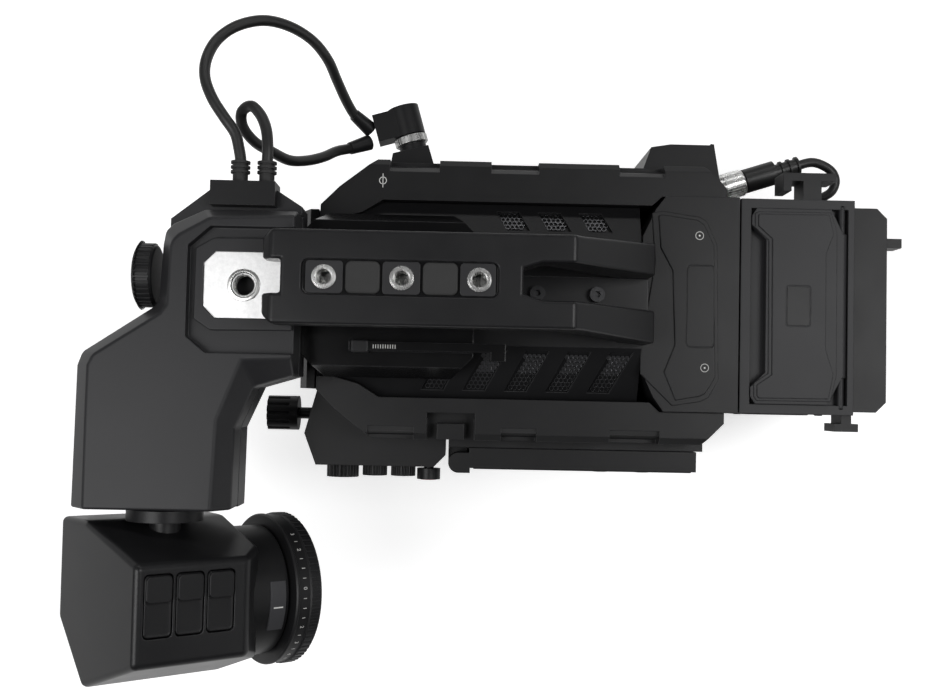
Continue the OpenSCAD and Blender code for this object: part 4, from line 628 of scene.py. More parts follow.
armCover = {  # outlines as shares of its length and span
    "front": -178.5, "near": -98.2, "long": 96, "span": 132, "split": 161.55, "shoulder": 177.5, "top": 187.5,
    "round": 1.2,
    "outer": [(0, 0), (0.005, 0.29), (0.008, 0.47), (0.03, 0.515), (0.35, 0.67), (0.37, 0.69),
              (0.385, 0.88), (0.395, 0.925), (0.43, 0.95), (0.575, 1), (1, 1), (1, 0.45), (0.82, 0.41),
              (0.735, 0.27), (0.73, 0)],
    "inner": [(0.085, 0), (0.085, 0.29), (0.087, 0.47), (0.11, 0.505), (0.405, 0.645), (0.435, 0.675),
              (0.443, 0.865), (0.452, 0.885), (0.478, 0.905), (0.617, 0.963), (1, 0.976), (1, 0.503),
              (0.777, 0.497), (0.672, 0.3), (0.655, 0)],
    "recess": [(0.52, 0.57), (0.61, 0.517), (1.02, 0.517), (1.02, 0.935), (0.62, 0.935), (0.52, 0.87)],
    "floor": 182.5, "recessRound": 0.7,
    "well": [(-122.3, -9.5), (-117, -14.8), (-80, -14.8), (-80, 14.8), (-117, 14.8), (-122.3, 9.5)],
    "wellHeights": (170, 190),
}


def armPoints(kind):
    return [(armCover["front"] + x * armCover["long"], armCover["near"] + y * armCover["span"])
            for x, y in armCover[kind]]


cover = outlinePiece("armTopCover", armPoints("outer"), armCover["split"], armCover["shoulder"])
pickFaces(cover, lambda center, normal: normal.z > level)
extrude(armCover["top"] - armCover["shoulder"])
toMode("OBJECT")
goals = {tuple(round(value * mm, 7) for value in outer): inner
         for outer, inner in zip(armPoints("outer"), armPoints("inner"))}
for vertex in cover.data.vertices:
    if vertex.co.z > (armCover["top"] - 0.1) * mm:
        x, y = goals[(round(vertex.co.x, 7), round(vertex.co.y, 7))]
        vertex.co.x, vertex.co.y = x * mm, y * mm
tidyNormals(cover)
soften(cover, armCover["round"], 3, 20)
tray = outlinePiece("tray", armPoints("recess"), armCover["floor"], armCover["top"] + 1)
soften(tray, armCover["recessRound"], 2)
cutWith(cover, tray)
cutWith(cover, outlinePiece("bed", armCover["well"], *armCover["wellHeights"]))
finished(cover, armBlack, standsFor=["arm_top_cover"])

plateFrame = {
    "outline": [(-125.7, 15.9), (-118, 20.4), (-83, 20.9), (-83, -19.5), (-118.6, -20), (-126, -15)],
    "inside": [(-122.1, -9.5), (-117, -14.6), (-80, -14.6), (-80, 14.6), (-117, 14.6), (-122.1, 9.5)],
    "low": 182.4, "high": 184.9, "edge": 0.6,
}
low, high = plateFrame["low"], plateFrame["high"]
island = outlinePiece("plateFrame", plateFrame["outline"], low, high, plateFrame["edge"], 3)
cutWith(island, outlinePiece("bed", plateFrame["inside"], low - 1, high + 1))
finished(island, armBlack)

plateBush = {
    "place": (-104.5, 0, 0),
    "rings": [(7.1, 183.95), (7.1, 184.3), (6.8, 184.55), (5.7, 184.55), (5.0, 183.9)],
    "thread": dict(radii=(4.85, 4.35), low=176, pitch=1.1, turns=7),
}
bush = turnedPiece("plateBush", plateBush["rings"], 64, tube)
bushThread = turnedPiece("bushThread", threadRings(**plateBush["thread"]), 48, tube)
bush = placed(joined("plateBush", [bush, bushThread]), shift(*plateBush["place"]))
finished(bush, brightMetal, 40)

handle = {  # side outline in X and Z, the others in X and Y
    "side": [(-94, 193), (-94, 201), (-90, 205), (38, 205), (79, 160), (79, 138), (64, 138), (64, 145),
             (27, 189), (-22, 189), (-26, 185), (-26, 157), (-80, 157), (-80, 189), (-90, 189)],
    "top": [(-94, -16), (-90, -20), (42, -20), (79, -23), (79, 23), (42, 20), (-90, 20), (-94, 16)],
    "gap": [(16, -5.33), (24, -8), (90, -8), (90, 8), (24, 8), (16, 5.33)],
    "half": 26, "heights": (130, 210), "centre": 2.5, "round": 1.7,
    "foot": (-86, -20), "footHalf": 15, "footReach": 40, "footHeights": (150, 189),
    "notch": ((-100, -7.2, 180), (-86, 7.2, 210)),
    "recess": ((-77.3, -7.75, 203.5), (5.9, 7.75, 210)), "recessCorner": 3.4,
    "inserts": (-67.7, -35.1, -2.5), "bore": 5.1, "boreHeights": (180, 207),
    "plate": ((18.8, -8.4, 138), (78.6, 8.4, 145)), "plateEdge": 0.5,
}
upright = Matrix(((1, 0, 0, 0), (0, 0, 1, 0), (0, 1, 0, 0), (0, 0, 0, 1)))
grip = placed(outlinePiece("handleBody", handle["side"], -handle["half"], handle["half"]), upright)
tidyNormals(grip)
cutWith(grip, outlinePiece("plan", handle["top"], *handle["heights"]), "INTERSECT")
low, high = handle["footHeights"]
for side in (1, -1):
    near, far = sorted((side * handle["footHalf"], side * handle["footReach"]))
    cutWith(grip, boxPiece("beside", (handle["foot"][0], near, low), (handle["foot"][1], far, high)))
cutWith(grip, outlinePiece("gap", handle["gap"], *handle["heights"]))
cutWith(grip, boxPiece("notch", *handle["notch"]))
tidyNormals(grip)
soften(grip, handle["round"], 4, 18)
cutWith(grip, boxPiece("recess", *handle["recess"], corner=handle["recessCorner"]))
for x in handle["inserts"]:
    drilled(grip, handle["bore"], x, 0, *handle["boreHeights"])
grip = joined("handleBody", [grip, boxPiece("footPlate", *handle["plate"], edge=handle["plateEdge"])])
placed(grip, shift(0, handle["centre"], 0))
finished(grip, handleBlack, 32, ["handle"])

strip = {
    "bed": ((-77, -5, 203.5), (5.6, 10, 203.95)), "bedCorner": 3.4, "bedEdge": 0.15,
    "plates": [(-75.4, -59.7), (-43.2, -27.3), (-10.6, 4.4)], "plateCorner": 1.6, "plateEdge": 0.28,
    "pads": [(-58.7, -44.1), (-26.3, -11.5)], "padCorner": 2.6, "padEdge": 0.5, "padBorder": 0.6,
    "padDip": -0.25, "y": (-4.4, 9.4), "low": 203.9, "plateTop": 204.75, "padTop": 205.3,
    "hole": 5.14, "holeHeights": (200, 207),
}


def stripPiece(name, span, top, corner, edge, edgeSteps=2):
    low, high = strip["y"]
    return boxPiece(name, (span[0], low, strip["low"]), (span[1], high, top), corner, edge, 5, edgeSteps)


def insertHole(piece, x):
    return drilled(piece, strip["hole"], x, handle["centre"], *strip["holeHeights"])


bed = boxPiece("stripBed", *strip["bed"], corner=strip["bedCorner"], edge=strip["bedEdge"])
for x in handle["inserts"]:
    insertHole(bed, x)
finished(bed, deckBlack)
plates = []
for span, x in zip(strip["plates"], handle["inserts"]):
    plate = stripPiece("insertPlate", span, strip["plateTop"], strip["plateCorner"], strip["plateEdge"])
    plates.append(insertHole(plate, x))
finished(joined("insertPlates", plates), armBlack)
pads = [stripPiece("gripPad", span, strip["padTop"], strip["padCorner"], strip["padEdge"], 3)
        for span in strip["pads"]]
for pad in pads:
    sunk(pad, lambda center, normal: normal.z > level, strip["padBorder"], strip["padDip"])
finished(joined("gripPads", pads), rubber, standsFor=["handle_pads"])

insertThread = {
    "thread": dict(radii=(3.15, 2.75), low=190, pitch=1.0, turns=14),
    "lip": [(3.0, 204.2), (3.15, 204.6), (3.5, 205.15), (4.6, 205.15), (5.05, 204.7)],
}
rings = threadRings(**insertThread["thread"]) + insertThread["lip"]
first = handle["inserts"][0]
liner = placed(turnedPiece("insertThread", rings, 48, tube), shift(first, handle["centre"], 0))
liners = [liner] + [copied(liner, (x - first, 0, 0)) for x in handle["inserts"][1:]]
finished(joined("insertThreads", liners), brightMetal, 40)
print("arm and handle pieces made")


def steppedPlate(facts, finish, body):  # two layers, and a bare badge in a hollow
    lowName, highName, badgeName = facts["names"]
    low = outlinePiece(lowName, facts["low"], *facts["lowStep"])
    high = outlinePiece(highName, facts["high"], *facts["highStep"])
    (x0, y0), (x1, y1) = facts["label"]
    floor, top, corner = facts["hollow"]
    cutWith(high, boxPiece("hollow", (x0, y0, floor), (x1, y1, top), corner=corner))
    finished(low, finish, body=body)
    finished(high, finish, body=body)
    gap, floor, top, corner, edge = facts["badge"]
    badge = boxPiece(badgeName, (x0 + gap, y0 + gap, floor), (x1 - gap, y1 - gap, top), corner, edge)
    finished(badge, casingBlack, body=body)


rearPlate = {
    "low": [(82.9, 19.7), (81.1, 43.3), (85.9, 44.4), (104.2, 41.9), (107.6, 39.6), (112.6, 28.6),
            (113.9, -36.1), (109.2, -44.8), (105.4, -46.7), (92, -48.9), (76.5, -34), (76.4, -22.6)],
    "high": [(85.4, 26.5), (91.3, 15.6), (92.7, -19.8), (87.7, -32.8), (93.4, -46.3), (104.8, -44.2),
             (107.6, -42.8), (112.2, -35), (111, 28), (106.2, 38), (103.2, 40.2), (86, 42.6), (84.2, 42)],
    "lowStep": (135.9, 136.7, 0.35), "highStep": (136.5, 137.5, 0.45),
    "names": ("rearPlateLow", "rearPlateHigh", "bareBadge"),
    "label": ((97.8, -21), (111.6, 18.6)), "hollow": (137.1, 139, 2.4), "badge": (0.5, 137, 137.35, 2, 0.12),
    "icons": [(103.9, 32.7), (107.1, -30.5)], "iconZ": 137.48, "iconRing": (1.75, 2), "iconDot": 0.45,
    "rise": 0.06,
}
steppedPlate(rearPlate, casingBlack, "camera_body")
icons = []
for x, y in rearPlate["icons"]:
    icon = flatRing("dialIcon", *rearPlate["iconRing"], rearPlate["rise"])
    dot = turnedPiece("dialDot", [(rearPlate["iconDot"], 0), (rearPlate["iconDot"], rearPlate["rise"])], 20)
    icons.append(placed(joined("dialIcon", [icon, dot]), shift(x, y, rearPlate["iconZ"])))
finished(joined("inputMarks", icons), markWhite, 0)

lidSet = {
    "low": [(131, 44.3), (132.2, 45.4), (167.6, 45.6), (170.6, 36), (170.8, -33), (168, -45.4),
            (132.6, -45.6), (131.2, -43.6), (131.1, -37.2), (138, -32.3), (137.6, 31.6), (131, 37.6)],
    "high": [(132.4, 43.6), (133.2, 44.2), (166.6, 44.4), (168.8, 35), (165.2, 25.3), (165.4, -20.5),
             (167, -25.5), (169.2, -32.4), (166.9, -44.2), (133.4, -44.4), (132.6, -43), (132.5, -38),
             (139.6, -33), (139.2, 32.2), (132.4, 38.4)],
    "lowStep": (134.9, 135.6, 0.3), "highStep": (135.4, 136.3, 0.4),
    "label": ((146, -9.8), (158, 10)), "hollow": (136, 138, 1.6), "badge": (0.5, 135.9, 136.2, 1.2, 0.1),
    "names": ("lidPanel", "lidShield", "bareTag"),
}
steppedPlate(lidSet, armBlack, "lid")
print("rear pieces made")

vents = {  # each opening's outline, and the roof that the meshes follow
    "cell": 1.25, "rim": 0.22, "deep": 1.0, "sink": 0.95, "edge": 0.9,
    "slope": 13 / 25.3, "knee": 22, "ridge": 138,
    "openings": [[(x, 43.5), (x + 11, 43.5), (x + 16, 34), (x + 5, 34)] for x in (7, 27, 47)]
    + [[(x, -43.5), (x + 11, -43.5), (x + 21, -24), (x + 10, -24)] for x in (-28, -8, 12, 32, 52)],
}


def insideBy(outline, x, y, space):  # whether a point lies that far inside a convex outline
    sign = 1 if outline[0][1] < 0 else -1
    for (ax, ay), (bx, by) in zip(outline, outline[1:] + outline[:1]):
        side = ((bx - ax) * (y - ay) - (by - ay) * (x - ax)) / hypot(bx - ax, by - ay)
        if side * sign < space:
            return False
    return True


def ventMesh(name, outline):
    clearSelection()
    across, rise = vents["cell"] * 3 ** 0.5, vents["cell"] * 1.5
    xs, ys = [x for x, y in outline], [y for x, y in outline]
    bpy.ops.mesh.primitive_circle_add(vertices=6, radius=vents["cell"] * mm, fill_type="NGON",
                                      location=(min(xs) * mm, min(ys) * mm, 0), rotation=(0, 0, pi / 6))
    cell = bake(bpy.context.object)
    second = copied(cell, (across / 2, rise, 0))
    mesh = joined(name, [cell, second])
    for way, gap, count in (((1, 0, 0), across, int((max(xs) - min(xs)) / across) + 1),
                            ((0, 1, 0), rise * 2, int((max(ys) - min(ys)) / rise / 2) + 1)):
        modified(mesh, "ARRAY", use_relative_offset=False, use_constant_offset=True,
                 constant_offset_displace=Vector(way) * gap * mm, count=count)
    pickFaces(mesh, lambda center, normal: not insideBy(outline, center.x / mm, center.y / mm, vents["edge"]))
    bpy.ops.mesh.delete(type="FACE")
    pickAll()
    bpy.ops.mesh.remove_doubles(threshold=0.02 * mm)
    pickAll()
    bpy.ops.mesh.inset(thickness=vents["rim"] * mm, use_individual=True)
    extrude(-vents["deep"])
    toMode("OBJECT")
    for vertex in mesh.data.vertices:
        fall = max(0, abs(vertex.co.y) / mm - vents["knee"]) * vents["slope"]
        vertex.co.z += (vents["ridge"] - fall - vents["sink"]) * mm
    return mesh


meshes = [ventMesh("ventMesh", outline) for outline in vents["openings"]]
finished(joined("ventMeshes", meshes), ventSteel, 20)
print("vent meshes made")

slideMarks = {
    "first": -49, "pitch": 1.1, "count": 10, "wide": 0.3, "y": (-25.6, -23.8), "z": 165.95, "rise": 0.12,
    "clamp": ((-59, -27.4, 158), (-51, -21.8, 167)), "corner": 0.8, "edge": 0.7,
}
ticks = []
for index in range(slideMarks["count"]):
    x = slideMarks["first"] + index * slideMarks["pitch"]
    (y0, y1), z = slideMarks["y"], slideMarks["z"]
    ticks.append(boxPiece("slideTick", (x, y0, z), (x + slideMarks["wide"], y1, z + slideMarks["rise"])))
finished(joined("slideTicks", ticks), markWhite, 0)
clamp = boxPiece("slideClamp", *slideMarks["clamp"], slideMarks["corner"], slideMarks["edge"], edgeSteps=3)
finished(clamp, handleBlack)

planeMark = {"place": (-48.3, 56.7, 132.02), "ring": (1.5, 1.85), "bar": (0.18, 3.4), "rise": 0.06}
planeRing = flatRing("planeRing", *planeMark["ring"], planeMark["rise"])
halfWide, halfLong = planeMark["bar"]
bar = boxPiece("planeBar", (-halfWide, -halfLong, 0), (halfWide, halfLong, planeMark["rise"]))
mark = placed(joined("sensorPlaneMark", [planeRing, bar]), shift(*planeMark["place"]))
finished(mark, markWhite, 0)

# modelled pieces on the viewfinder

eyepiece = {"pivot": (-139, -138, 170), "lean": 37}
lean = shift(*eyepiece["pivot"]) @ Matrix.Rotation(radians(eyepiece["lean"]), 4, "Y")
alongX = Matrix.Rotation(radians(90), 4, "Y")
alongEye = lean @ alongX

focusRing = {
    "rings": [(25.1, 48.2), (34.1, 48.2), (34.7, 48.8), (34.7, 49.6), (34.1, 50.0), (34.1, 55.4),
              (34.7, 55.8), (34.7, 60.4), (34.1, 61.2), (32.4, 61.9), (28.5, 61.9), (27.4, 61.0),
              (20.5, 55.4), (19.4, 54.2), (19.4, 48.2)],
    "sides": 144, "band": (56.2, 60.2), "rib": 0.28,
    "numbers": "32101234", "spread": 15, "size": 2.6, "middle": 52.7, "radius": 34.16,
    "tick": (0.12, 0.8, 0.03),
}
ring = knurled("focusRing", focusRing["rings"], focusRing["sides"], focusRing["band"], focusRing["rib"], 1,
               tube)
finished(placed(ring, alongEye), trimBlack, 25, ["diopter_ring"], body="focus_ring")


def onRing(piece, angle):  # lays a flat mark on the focus ring, an angle around it
    flat = alongX @ Matrix.Rotation(radians(90), 4, "Z")
    out = shift(focusRing["radius"], 0, focusRing["middle"])
    return placed(piece, alongEye @ Matrix.Rotation(angle, 4, "Z") @ out @ flat)


tickHalf = Vector(focusRing["tick"])
marks = []
for index, word in enumerate(focusRing["numbers"]):
    angle = radians(180 + (index - 3.5) * focusRing["spread"])
    marks.append(onRing(wordPiece("ringNumber", word, focusRing["size"]), angle))
    marks.append(onRing(boxPiece("ringTick", -tickHalf, tickHalf), angle + radians(focusRing["spread"] / 2)))
finished(joined("focusNumbers", marks), markWhite, 0, body="focus_ring")

eyeCup = {
    "collar": [(29.1, 27), (29.6, 27.6), (29.6, 46.6), (29.1, 47.2), (28.2, 47.4), (25, 47.4), (25, 48.6)],
    "rim": [(19, 50.5), (19, 53.4), (17.6, 53.6), (16.9, 52.6), (16.9, 50.5)],
    "dome": [(16.9, 51.2), (14.8, 52.2), (12, 53.1), (8.6, 53.8), (4.6, 54.2), (1.2, 54.35)],
}
for name, rings, sides, closed, finish, slotName, smooth in (
        ("eyeCollar", eyeCup["collar"], 96, tube, casingBlack, "casing_black", 25),
        ("lensRim", eyeCup["rim"], 72, tube, trimBlack, "trim_black", 25),
        ("lensDome", eyeCup["dome"], 72, (True, True), lensCoating, "lens_glass", 40)):
    piece = placed(turnedPiece(name, rings, sides, closed), alongEye)
    finished(piece, finish, smooth, body="evf_head")

lockKnob = {
    "place": (-155, 5, 166.5), "sides": 72, "rib": 0.45, "band": (1.2, 7.6), "border": 1.6, "dip": 0.8,
    "rings": [(12.6, 0), (13.6, 0.5), (14, 1), (14, 7.8), (13.4, 8.6), (12.6, 9)],
}
knob = knurled("lockKnob", lockKnob["rings"], lockKnob["sides"], lockKnob["band"], lockKnob["rib"])
sunk(knob, lambda center, normal: normal.z < -level, lockKnob["border"], lockKnob["dip"])
placed(knob, shift(*lockKnob["place"]) @ alongX)
finished(knob, trimBlack, 25, ["evf_lock_knob"], body="lock_knob")
print("viewfinder pieces made")

housing = {
    "section": [(34.3, -35), (34.3, -10.5), (20.3, 35), (-22, 35), (-37.8, -10.5), (-10.5, -35)], "half": 35,
    "front": (-27, -34), "rear": 34, "chamfer": 10, "round": 2.6,
    "wells": (-17, -3, 11), "wellY": (-10.3, 16.3), "wellHalf": 6.5, "floor": 29.4, "wellTop": 40,
    "wellCorner": 2.2, "bore": 19.4, "boreDeep": 40,
}
acrossX = Matrix(((0, 0, 1, 0), (1, 0, 0, 0), (0, 1, 0, 0), (0, 0, 0, 1)))
frontTop, frontLow = housing["front"]
shell = placed(outlinePiece("viewfinderShell", housing["section"], frontLow, housing["rear"]), acrossX)
rearEdge, topEdge = (housing["rear"] - 0.5) * mm, (housing["half"] - 1) * mm
pickEdges(shell, lambda a, b: min(a.x, b.x) > rearEdge and min(a.z, b.z) > topEdge)
bpy.ops.mesh.bevel(offset=housing["chamfer"] * mm, segments=1)
toMode("OBJECT")
for vertex in shell.data.vertices:  # the front leans back towards its top
    if vertex.co.x < (frontLow + 0.5) * mm:
        rise = (vertex.co.z / mm + housing["half"]) / (housing["half"] * 2)
        vertex.co.x = (frontLow + (frontTop - frontLow) * rise) * mm
soften(shell, housing["round"], 5, 15)
half, (near, far) = housing["wellHalf"], housing["wellY"]
for x in housing["wells"]:
    low, high = (x - half, near, housing["floor"]), (x + half, far, housing["wellTop"])
    cutWith(shell, boxPiece("well", low, high, corner=housing["wellCorner"]))
bore = turnedPiece("bore", [(housing["bore"], 0), (housing["bore"], housing["boreDeep"])], 72)
cutWith(shell, placed(bore, alongX))
finished(placed(shell, lean), handleBlack, 32, ["evf_housing"], body="evf_head")

rockerCap = {
    "half": 6.0, "y": (-9.7, 15.7), "low": 31.8, "mid": 35.0, "high": 36.1, "step": 4.4, "inset": 0.35,
    "corner": 1.9, "edge": 0.5, "border": 0.9, "dip": -0.3,
    "bodies": [("rocker_front", "evf_rocker_front"), ("rocker_middle", "evf_rocker_middle"),
               ("rocker_rear", "evf_rocker_rear")],
}
half, (near, far) = rockerCap["half"], rockerCap["y"]
small = half - rockerCap["inset"]
shape = (rockerCap["corner"], rockerCap["edge"], 4, 3)


def keyless(center, normal):  # the top face beside the raised key
    return normal.z > level and center.y < 2 * mm


for x, (body, node) in zip(housing["wells"], rockerCap["bodies"]):
    low, high = (x - half, near, rockerCap["low"]), (x + half, far, rockerCap["mid"])
    cap = boxPiece("rockerBase", low, high, *shape)
    key = boxPiece("rockerKey", (x - small, rockerCap["step"], rockerCap["mid"] - 1),
                   (x + small, far - 0.3, rockerCap["high"]), *shape)
    cutWith(cap, key, "UNION")
    sunk(cap, keyless, rockerCap["border"], rockerCap["dip"])
    finished(placed(cap, lean), trimBlack, 32, [node], body=body)

tabSet = {
    "rings": [(29.55, 37.6), (30.25, 37.9), (30.25, 45.1), (29.55, 45.4)], "sides": 144, "middle": 187,
    "spread": 42, "tick": ((-0.03, -0.3, -2.3), (0.05, 0.3, 2.3)), "tickPlace": (30.27, 0, 41.5),
}
tab = turnedPiece("indexTab", tabSet["rings"], tabSet["sides"], tube)
keepSector(tab, tabSet["middle"], tabSet["spread"])
finished(placed(tab, alongEye), tabGrey, 25, body="evf_head")
at = Matrix.Rotation(radians(tabSet["middle"]), 4, "Z") @ shift(*tabSet["tickPlace"])
tick = placed(boxPiece("indexTick", *tabSet["tick"]), alongEye @ at)
finished(tick, markWhite, 0, body="evf_head")

recordDisc = {"place": (-24, -89.5, 84), "rings": [(4.6, -0.6), (4.6, 0), (4.2, 0.3), (3.2, 0.12)]}
disc = aim(turnedPiece("recordDisc", recordDisc["rings"]), recordDisc["place"], (0, -1, 0))
finished(disc, recordRed, 25, body="record_key")

# modelled pieces on the sides, front and rear

dialLine = {
    "half": 0.35, "shares": (0.25, 0.8), "heights": (-0.02, 0.12),
    "dials": [("frontDial", "front_dial", "dial", 8.3),
              ("audioFront", "audio_knob_front", "audio_front", 6.4),
              ("audioRear", "audio_knob_rear", "audio_rear", 6.4)],
}
for name, node, body, radius in dialLine["dials"]:
    low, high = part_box(node)
    half, (near, far), (bottom, top) = dialLine["half"], dialLine["shares"], dialLine["heights"]
    line = boxPiece(name + "Line", (-half, radius * near, bottom), (half, radius * far, top))
    aim(line, ((low[0] + high[0]) / 2 / mm, low[1] / mm, (low[2] + high[2]) / 2 / mm), (0, -1, 0))
    finished(line, markWhite, 0, body=body)

screenSet = {
    "glass": ((1.5, -72.95, 45), (104.5, -72.3, 105)), "glassEdge": 0.15,
    "lip": ((-1.5, -82.5, 42.5), (107.5, -81.8, 107.5)), "lipEdge": 0.3, "lipWide": 3,
}
glass = boxPiece("screenPane", *screenSet["glass"], edge=screenSet["glassEdge"])
finished(glass, screenGlass, body="side_screen")
margin = Vector((screenSet["lipWide"], -1, screenSet["lipWide"]))
low, high = (Vector(corner) for corner in screenSet["lip"])
lip = boxPiece("screenLip", low, high, edge=screenSet["lipEdge"])
cutWith(lip, boxPiece("window", low + margin, high - margin))
finished(lip, casingBlack, body="side_screen")

lockRings = {
    "plugRing": dict(
        node="plug_lock_ring", body="plug_ring", place=(-36, 83, 88), way=106, sides=64, band=(1, 4.3),
        rib=0.18,
        rings=[(6.2, 0.5), (8.0, 0.5), (8.35, 0.9), (8.35, 4.4), (8.0, 4.8), (6.2, 4.8)]),
    "cableRing": dict(
        node="bnc_lock_ring", body="bnc_ring", place=(121, 64.6, 75), way=18, sides=60, band=(9, 18.6),
        rib=0.22,
        rings=[(5.75, 6.2), (6.6, 6.2), (7, 6.6), (7, 8.2), (6.7, 8.4), (6.7, 8.9), (6.95, 9), (6.95, 18.6),
               (6.5, 19.6), (5.9, 20), (5.2, 20)]),
}
for name, facts in lockRings.items():
    ring = knurled(name, facts["rings"], facts["sides"], facts["band"], facts["rib"])
    way = radians(facts["way"])
    aim(ring, facts["place"], (cos(way), sin(way), 0))
    finished(ring, brightMetal, 25, [facts["node"]], body=facts["body"])

audioPort = {
    "place": (108, 71.6, 97), "disc": [(7.9, 0), (7.9, 2), (7.5, 2.4), (6.8, 2.4)],
    "pin": [(0.9, 1), (0.9, 4.6), (0.5, 5.2)], "pinRing": 4, "pins": 3, "firstPin": 30,
}
disc = aim(turnedPiece("portDisc", audioPort["disc"]), audioPort["place"], (1, 0, 0))
finished(disc, rubber, 25)
x, y, z = audioPort["place"]
reach, pins = audioPort["pinRing"], []
for index in range(audioPort["pins"]):
    angle = radians(audioPort["firstPin"] + index * 360 / audioPort["pins"])
    pin = turnedPiece("portPin", audioPort["pin"], 20)
    pins.append(aim(pin, (x, y + reach * cos(angle), z + reach * sin(angle)), (1, 0, 0)))
finished(joined("portPins", pins), brightMetal, 25)

mount = {
    "place": (-91.95, 0, 68), "lug": [(27.3, 0), (27.3, 0.9), (31.8, 0.9), (32.4, 0.4), (32.4, 0)], "lugs": 3,
    "spread": 34, "dot": [(1.3, 0), (1.3, 0.1), (1.0, 0.35), (0.5, 0.45)], "dotPlace": (-88, 0, 106),
    "pane": ((-51.9, -16, 57.5), (-51.1, 16, 78.5)), "paneEdge": 0.2,
}
lugs = []
for index in range(mount["lugs"]):
    lug = turnedPiece("mountLug", mount["lug"], 108, tube)
    keepSector(lug, 90 + index * 360 / mount["lugs"], mount["spread"])
    lugs.append(aim(lug, mount["place"], (-1, 0, 0)))
finished(joined("mountLugs", lugs), brightMetal, 25)
dot = aim(turnedPiece("mountDot", mount["dot"], 28), mount["dotPlace"], (-1, 0, 0))
finished(dot, recordRed, 25)
pane = boxPiece("sensorPane", *mount["pane"], edge=mount["paneEdge"])
finished(pane, sensorGlass)

sideScrew = {
    "head": [(1.1, 0.2), (1.1, 0.75), (1.7, 0.8), (2.1, 0.45), (2.2, 0)],
    "places": [(x, side * 62, 22) for side in (1, -1) for x in (-46, 0, 50, 104)]
    + [(x, side * 51.75, z) for side in (1, -1) for x in (131, 172) for z in (13, 104)],
}
screws = []
for x, y, z in sideScrew["places"]:
    screw = turnedPiece("sideScrew", sideScrew["head"], 24, (True, False))
    screws.append(aim(screw, (x, y, z), (0, 1 if y > 0 else -1, 0)))
finished(joined("sideScrews", screws), screwSteel, 25)

sidePanels = {  # low and high corners in X and Z, cut corner, Y of the wall, rise
    "panels": [
        ("ventSurround", (13, 39), (72, 81), 5, 62, 0.9, ((18, 43.5), (67, 76.5), 2)),
        ("recorderPanelRight", (133, 18), (168, 99), 5, 51.75, 0.8, None),
        ("recorderPanelLeft", (133, 18), (170, 99), 5, -51.75, 0.8, None),
        ("footPanelRight", (-40, 27), (108, 33), 2, 62, 0.7, None),
    ],
    "root": -0.3, "edge": 0.4,
}


def cornered(low, high, cut):
    (x0, z0), (x1, z1) = low, high
    return [(x0 + cut, z0), (x1 - cut, z0), (x1, z0 + cut), (x1, z1 - cut), (x1 - cut, z1), (x0 + cut, z1),
            (x0, z1 - cut), (x0, z0 + cut)]


def sidePanel(name, low, high, cut, y, rise, window):
    panel = outlinePiece(name, cornered(low, high, cut), sidePanels["root"], rise, sidePanels["edge"], 3)
    if window:
        cutWith(panel, outlinePiece("window", cornered(*window), -1, rise + 1))
    placed(panel, Matrix(((1, 0, 0, 0), (0, 0, 1 if y > 0 else -1, y * mm), (0, 1, 0, 0), (0, 0, 0, 1))))
    tidyNormals(panel)
    finished(panel, casingBlack)


for facts in sidePanels["panels"]:
    sidePanel(*facts)

contacts = {
    "block": ((191.6, -17, 36), (192.8, 17, 70)), "blockEdge": 0.5,
    "x": (192.7, 194.8), "y": (-12.5, -7.5, 7.5, 12.5), "z": (40, 66), "half": 0.6, "bladeEdge": 0.2,
}
block = boxPiece("contactBlock", *contacts["block"], edge=contacts["blockEdge"])
finished(block, trimBlack)
(x0, x1), (z0, z1), half = contacts["x"], contacts["z"], contacts["half"]
blades = [boxPiece("contactBlade", (x0, y - half, z0), (x1, y + half, z1), edge=contacts["bladeEdge"])
          for y in contacts["y"]]
finished(joined("batteryContacts", blades), brass)
print("side, front and rear pieces made")

# light and floor

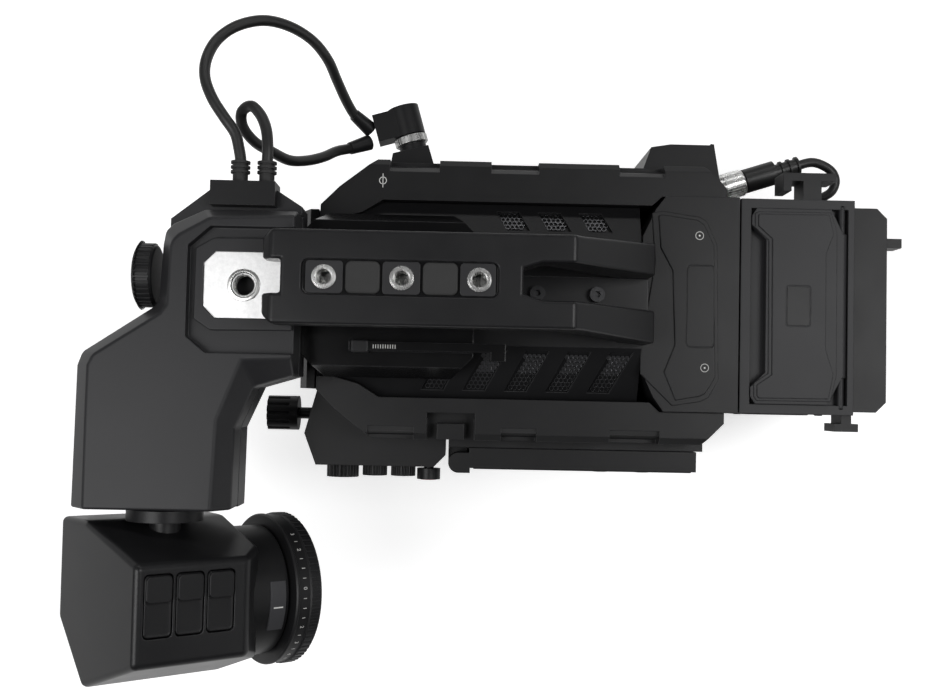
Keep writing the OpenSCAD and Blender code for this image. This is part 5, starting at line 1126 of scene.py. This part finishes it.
studio = {
    "world": 0.07, "target": (0, 0, 0.1),
    "lamps": [  # place, size and watts
        ("leftBox", (-0.62, -0.25, 1.2), (0.5, 0.8), 7.5),
        ("rightBox", (0.6, 0.05, 1.2), (0.4, 0.6), 5),
        ("farStrip", (0.1, 0.95, 0.75), (1.6, 0.16), 3),
        ("leftStrip", (-0.95, -0.1, 0.6), (1.2, 0.14), 0.7),
        ("rightStrip", (1.0, -0.1, 0.6), (1.2, 0.14), 0.9),
    ],
    "floorSize": 8, "floorDrop": 0.0005, "floorShade": 0.8, "floorGlow": 0.62, "floorGloss": 0.35,
}


def lamp(name, place, size, watts):
    clearSelection()
    bpy.ops.object.light_add(type="AREA", location=place)
    light = bpy.context.object
    light.name = name
    light.data.shape = "RECTANGLE"
    light.data.size, light.data.size_y = size
    light.data.energy = watts
    way = Vector(studio["target"]) - Vector(place)
    light.rotation_euler = way.to_track_quat("-Z", "Y").to_euler()


for facts in studio["lamps"]:
    lamp(*facts)

world = bpy.data.worlds.new("studioWorld")
bpy.context.scene.world = world
sky = Recipe(world)
ray = sky.node("LightPath")
glow = sky.node("Background", None, {"Color": rgb(1, 1, 1), "Strength": studio["world"]})["Background"]
plain = sky.node("Background", None, {"Color": rgb(1, 1, 1), "Strength": 1.0})["Background"]
direct = (ray["Is Camera Ray"] + ray["Is Transmission Ray"]).least(1.0)
seen = sky.node("MixShader", None, {0: direct, 1: glow, 2: plain})["Shader"]
sky.node("OutputWorld", None, {"Surface": seen})

clearSelection()
bpy.ops.mesh.primitive_plane_add(size=studio["floorSize"], location=(0, 0, -studio["floorDrop"]))
floor = bpy.context.object
floor.name = "floor"
pale = Recipe("paleFloor")
shade = studio["floorShade"]
lit = pale.node("BsdfDiffuse", None, {"Color": rgb(shade, shade, shade)})["BSDF"]
shine = pale.node("Emission", None, {"Color": rgb(1, 1, 1), "Strength": studio["floorGlow"]})["Emission"]
both = pale.node("AddShader", None, {0: lit, 1: shine})["Shader"]
ray = pale.node("LightPath")
share = (ray["Is Camera Ray"] + ray["Is Glossy Ray"] * studio["floorGloss"]).least(1.0)
mixed = pale.node("MixShader", None, {0: share, 1: lit, 2: both})["Shader"]
pale.node("OutputMaterial", None, {"Surface": mixed})
floor.data.materials.append(pale.material)
print("light and floor set")
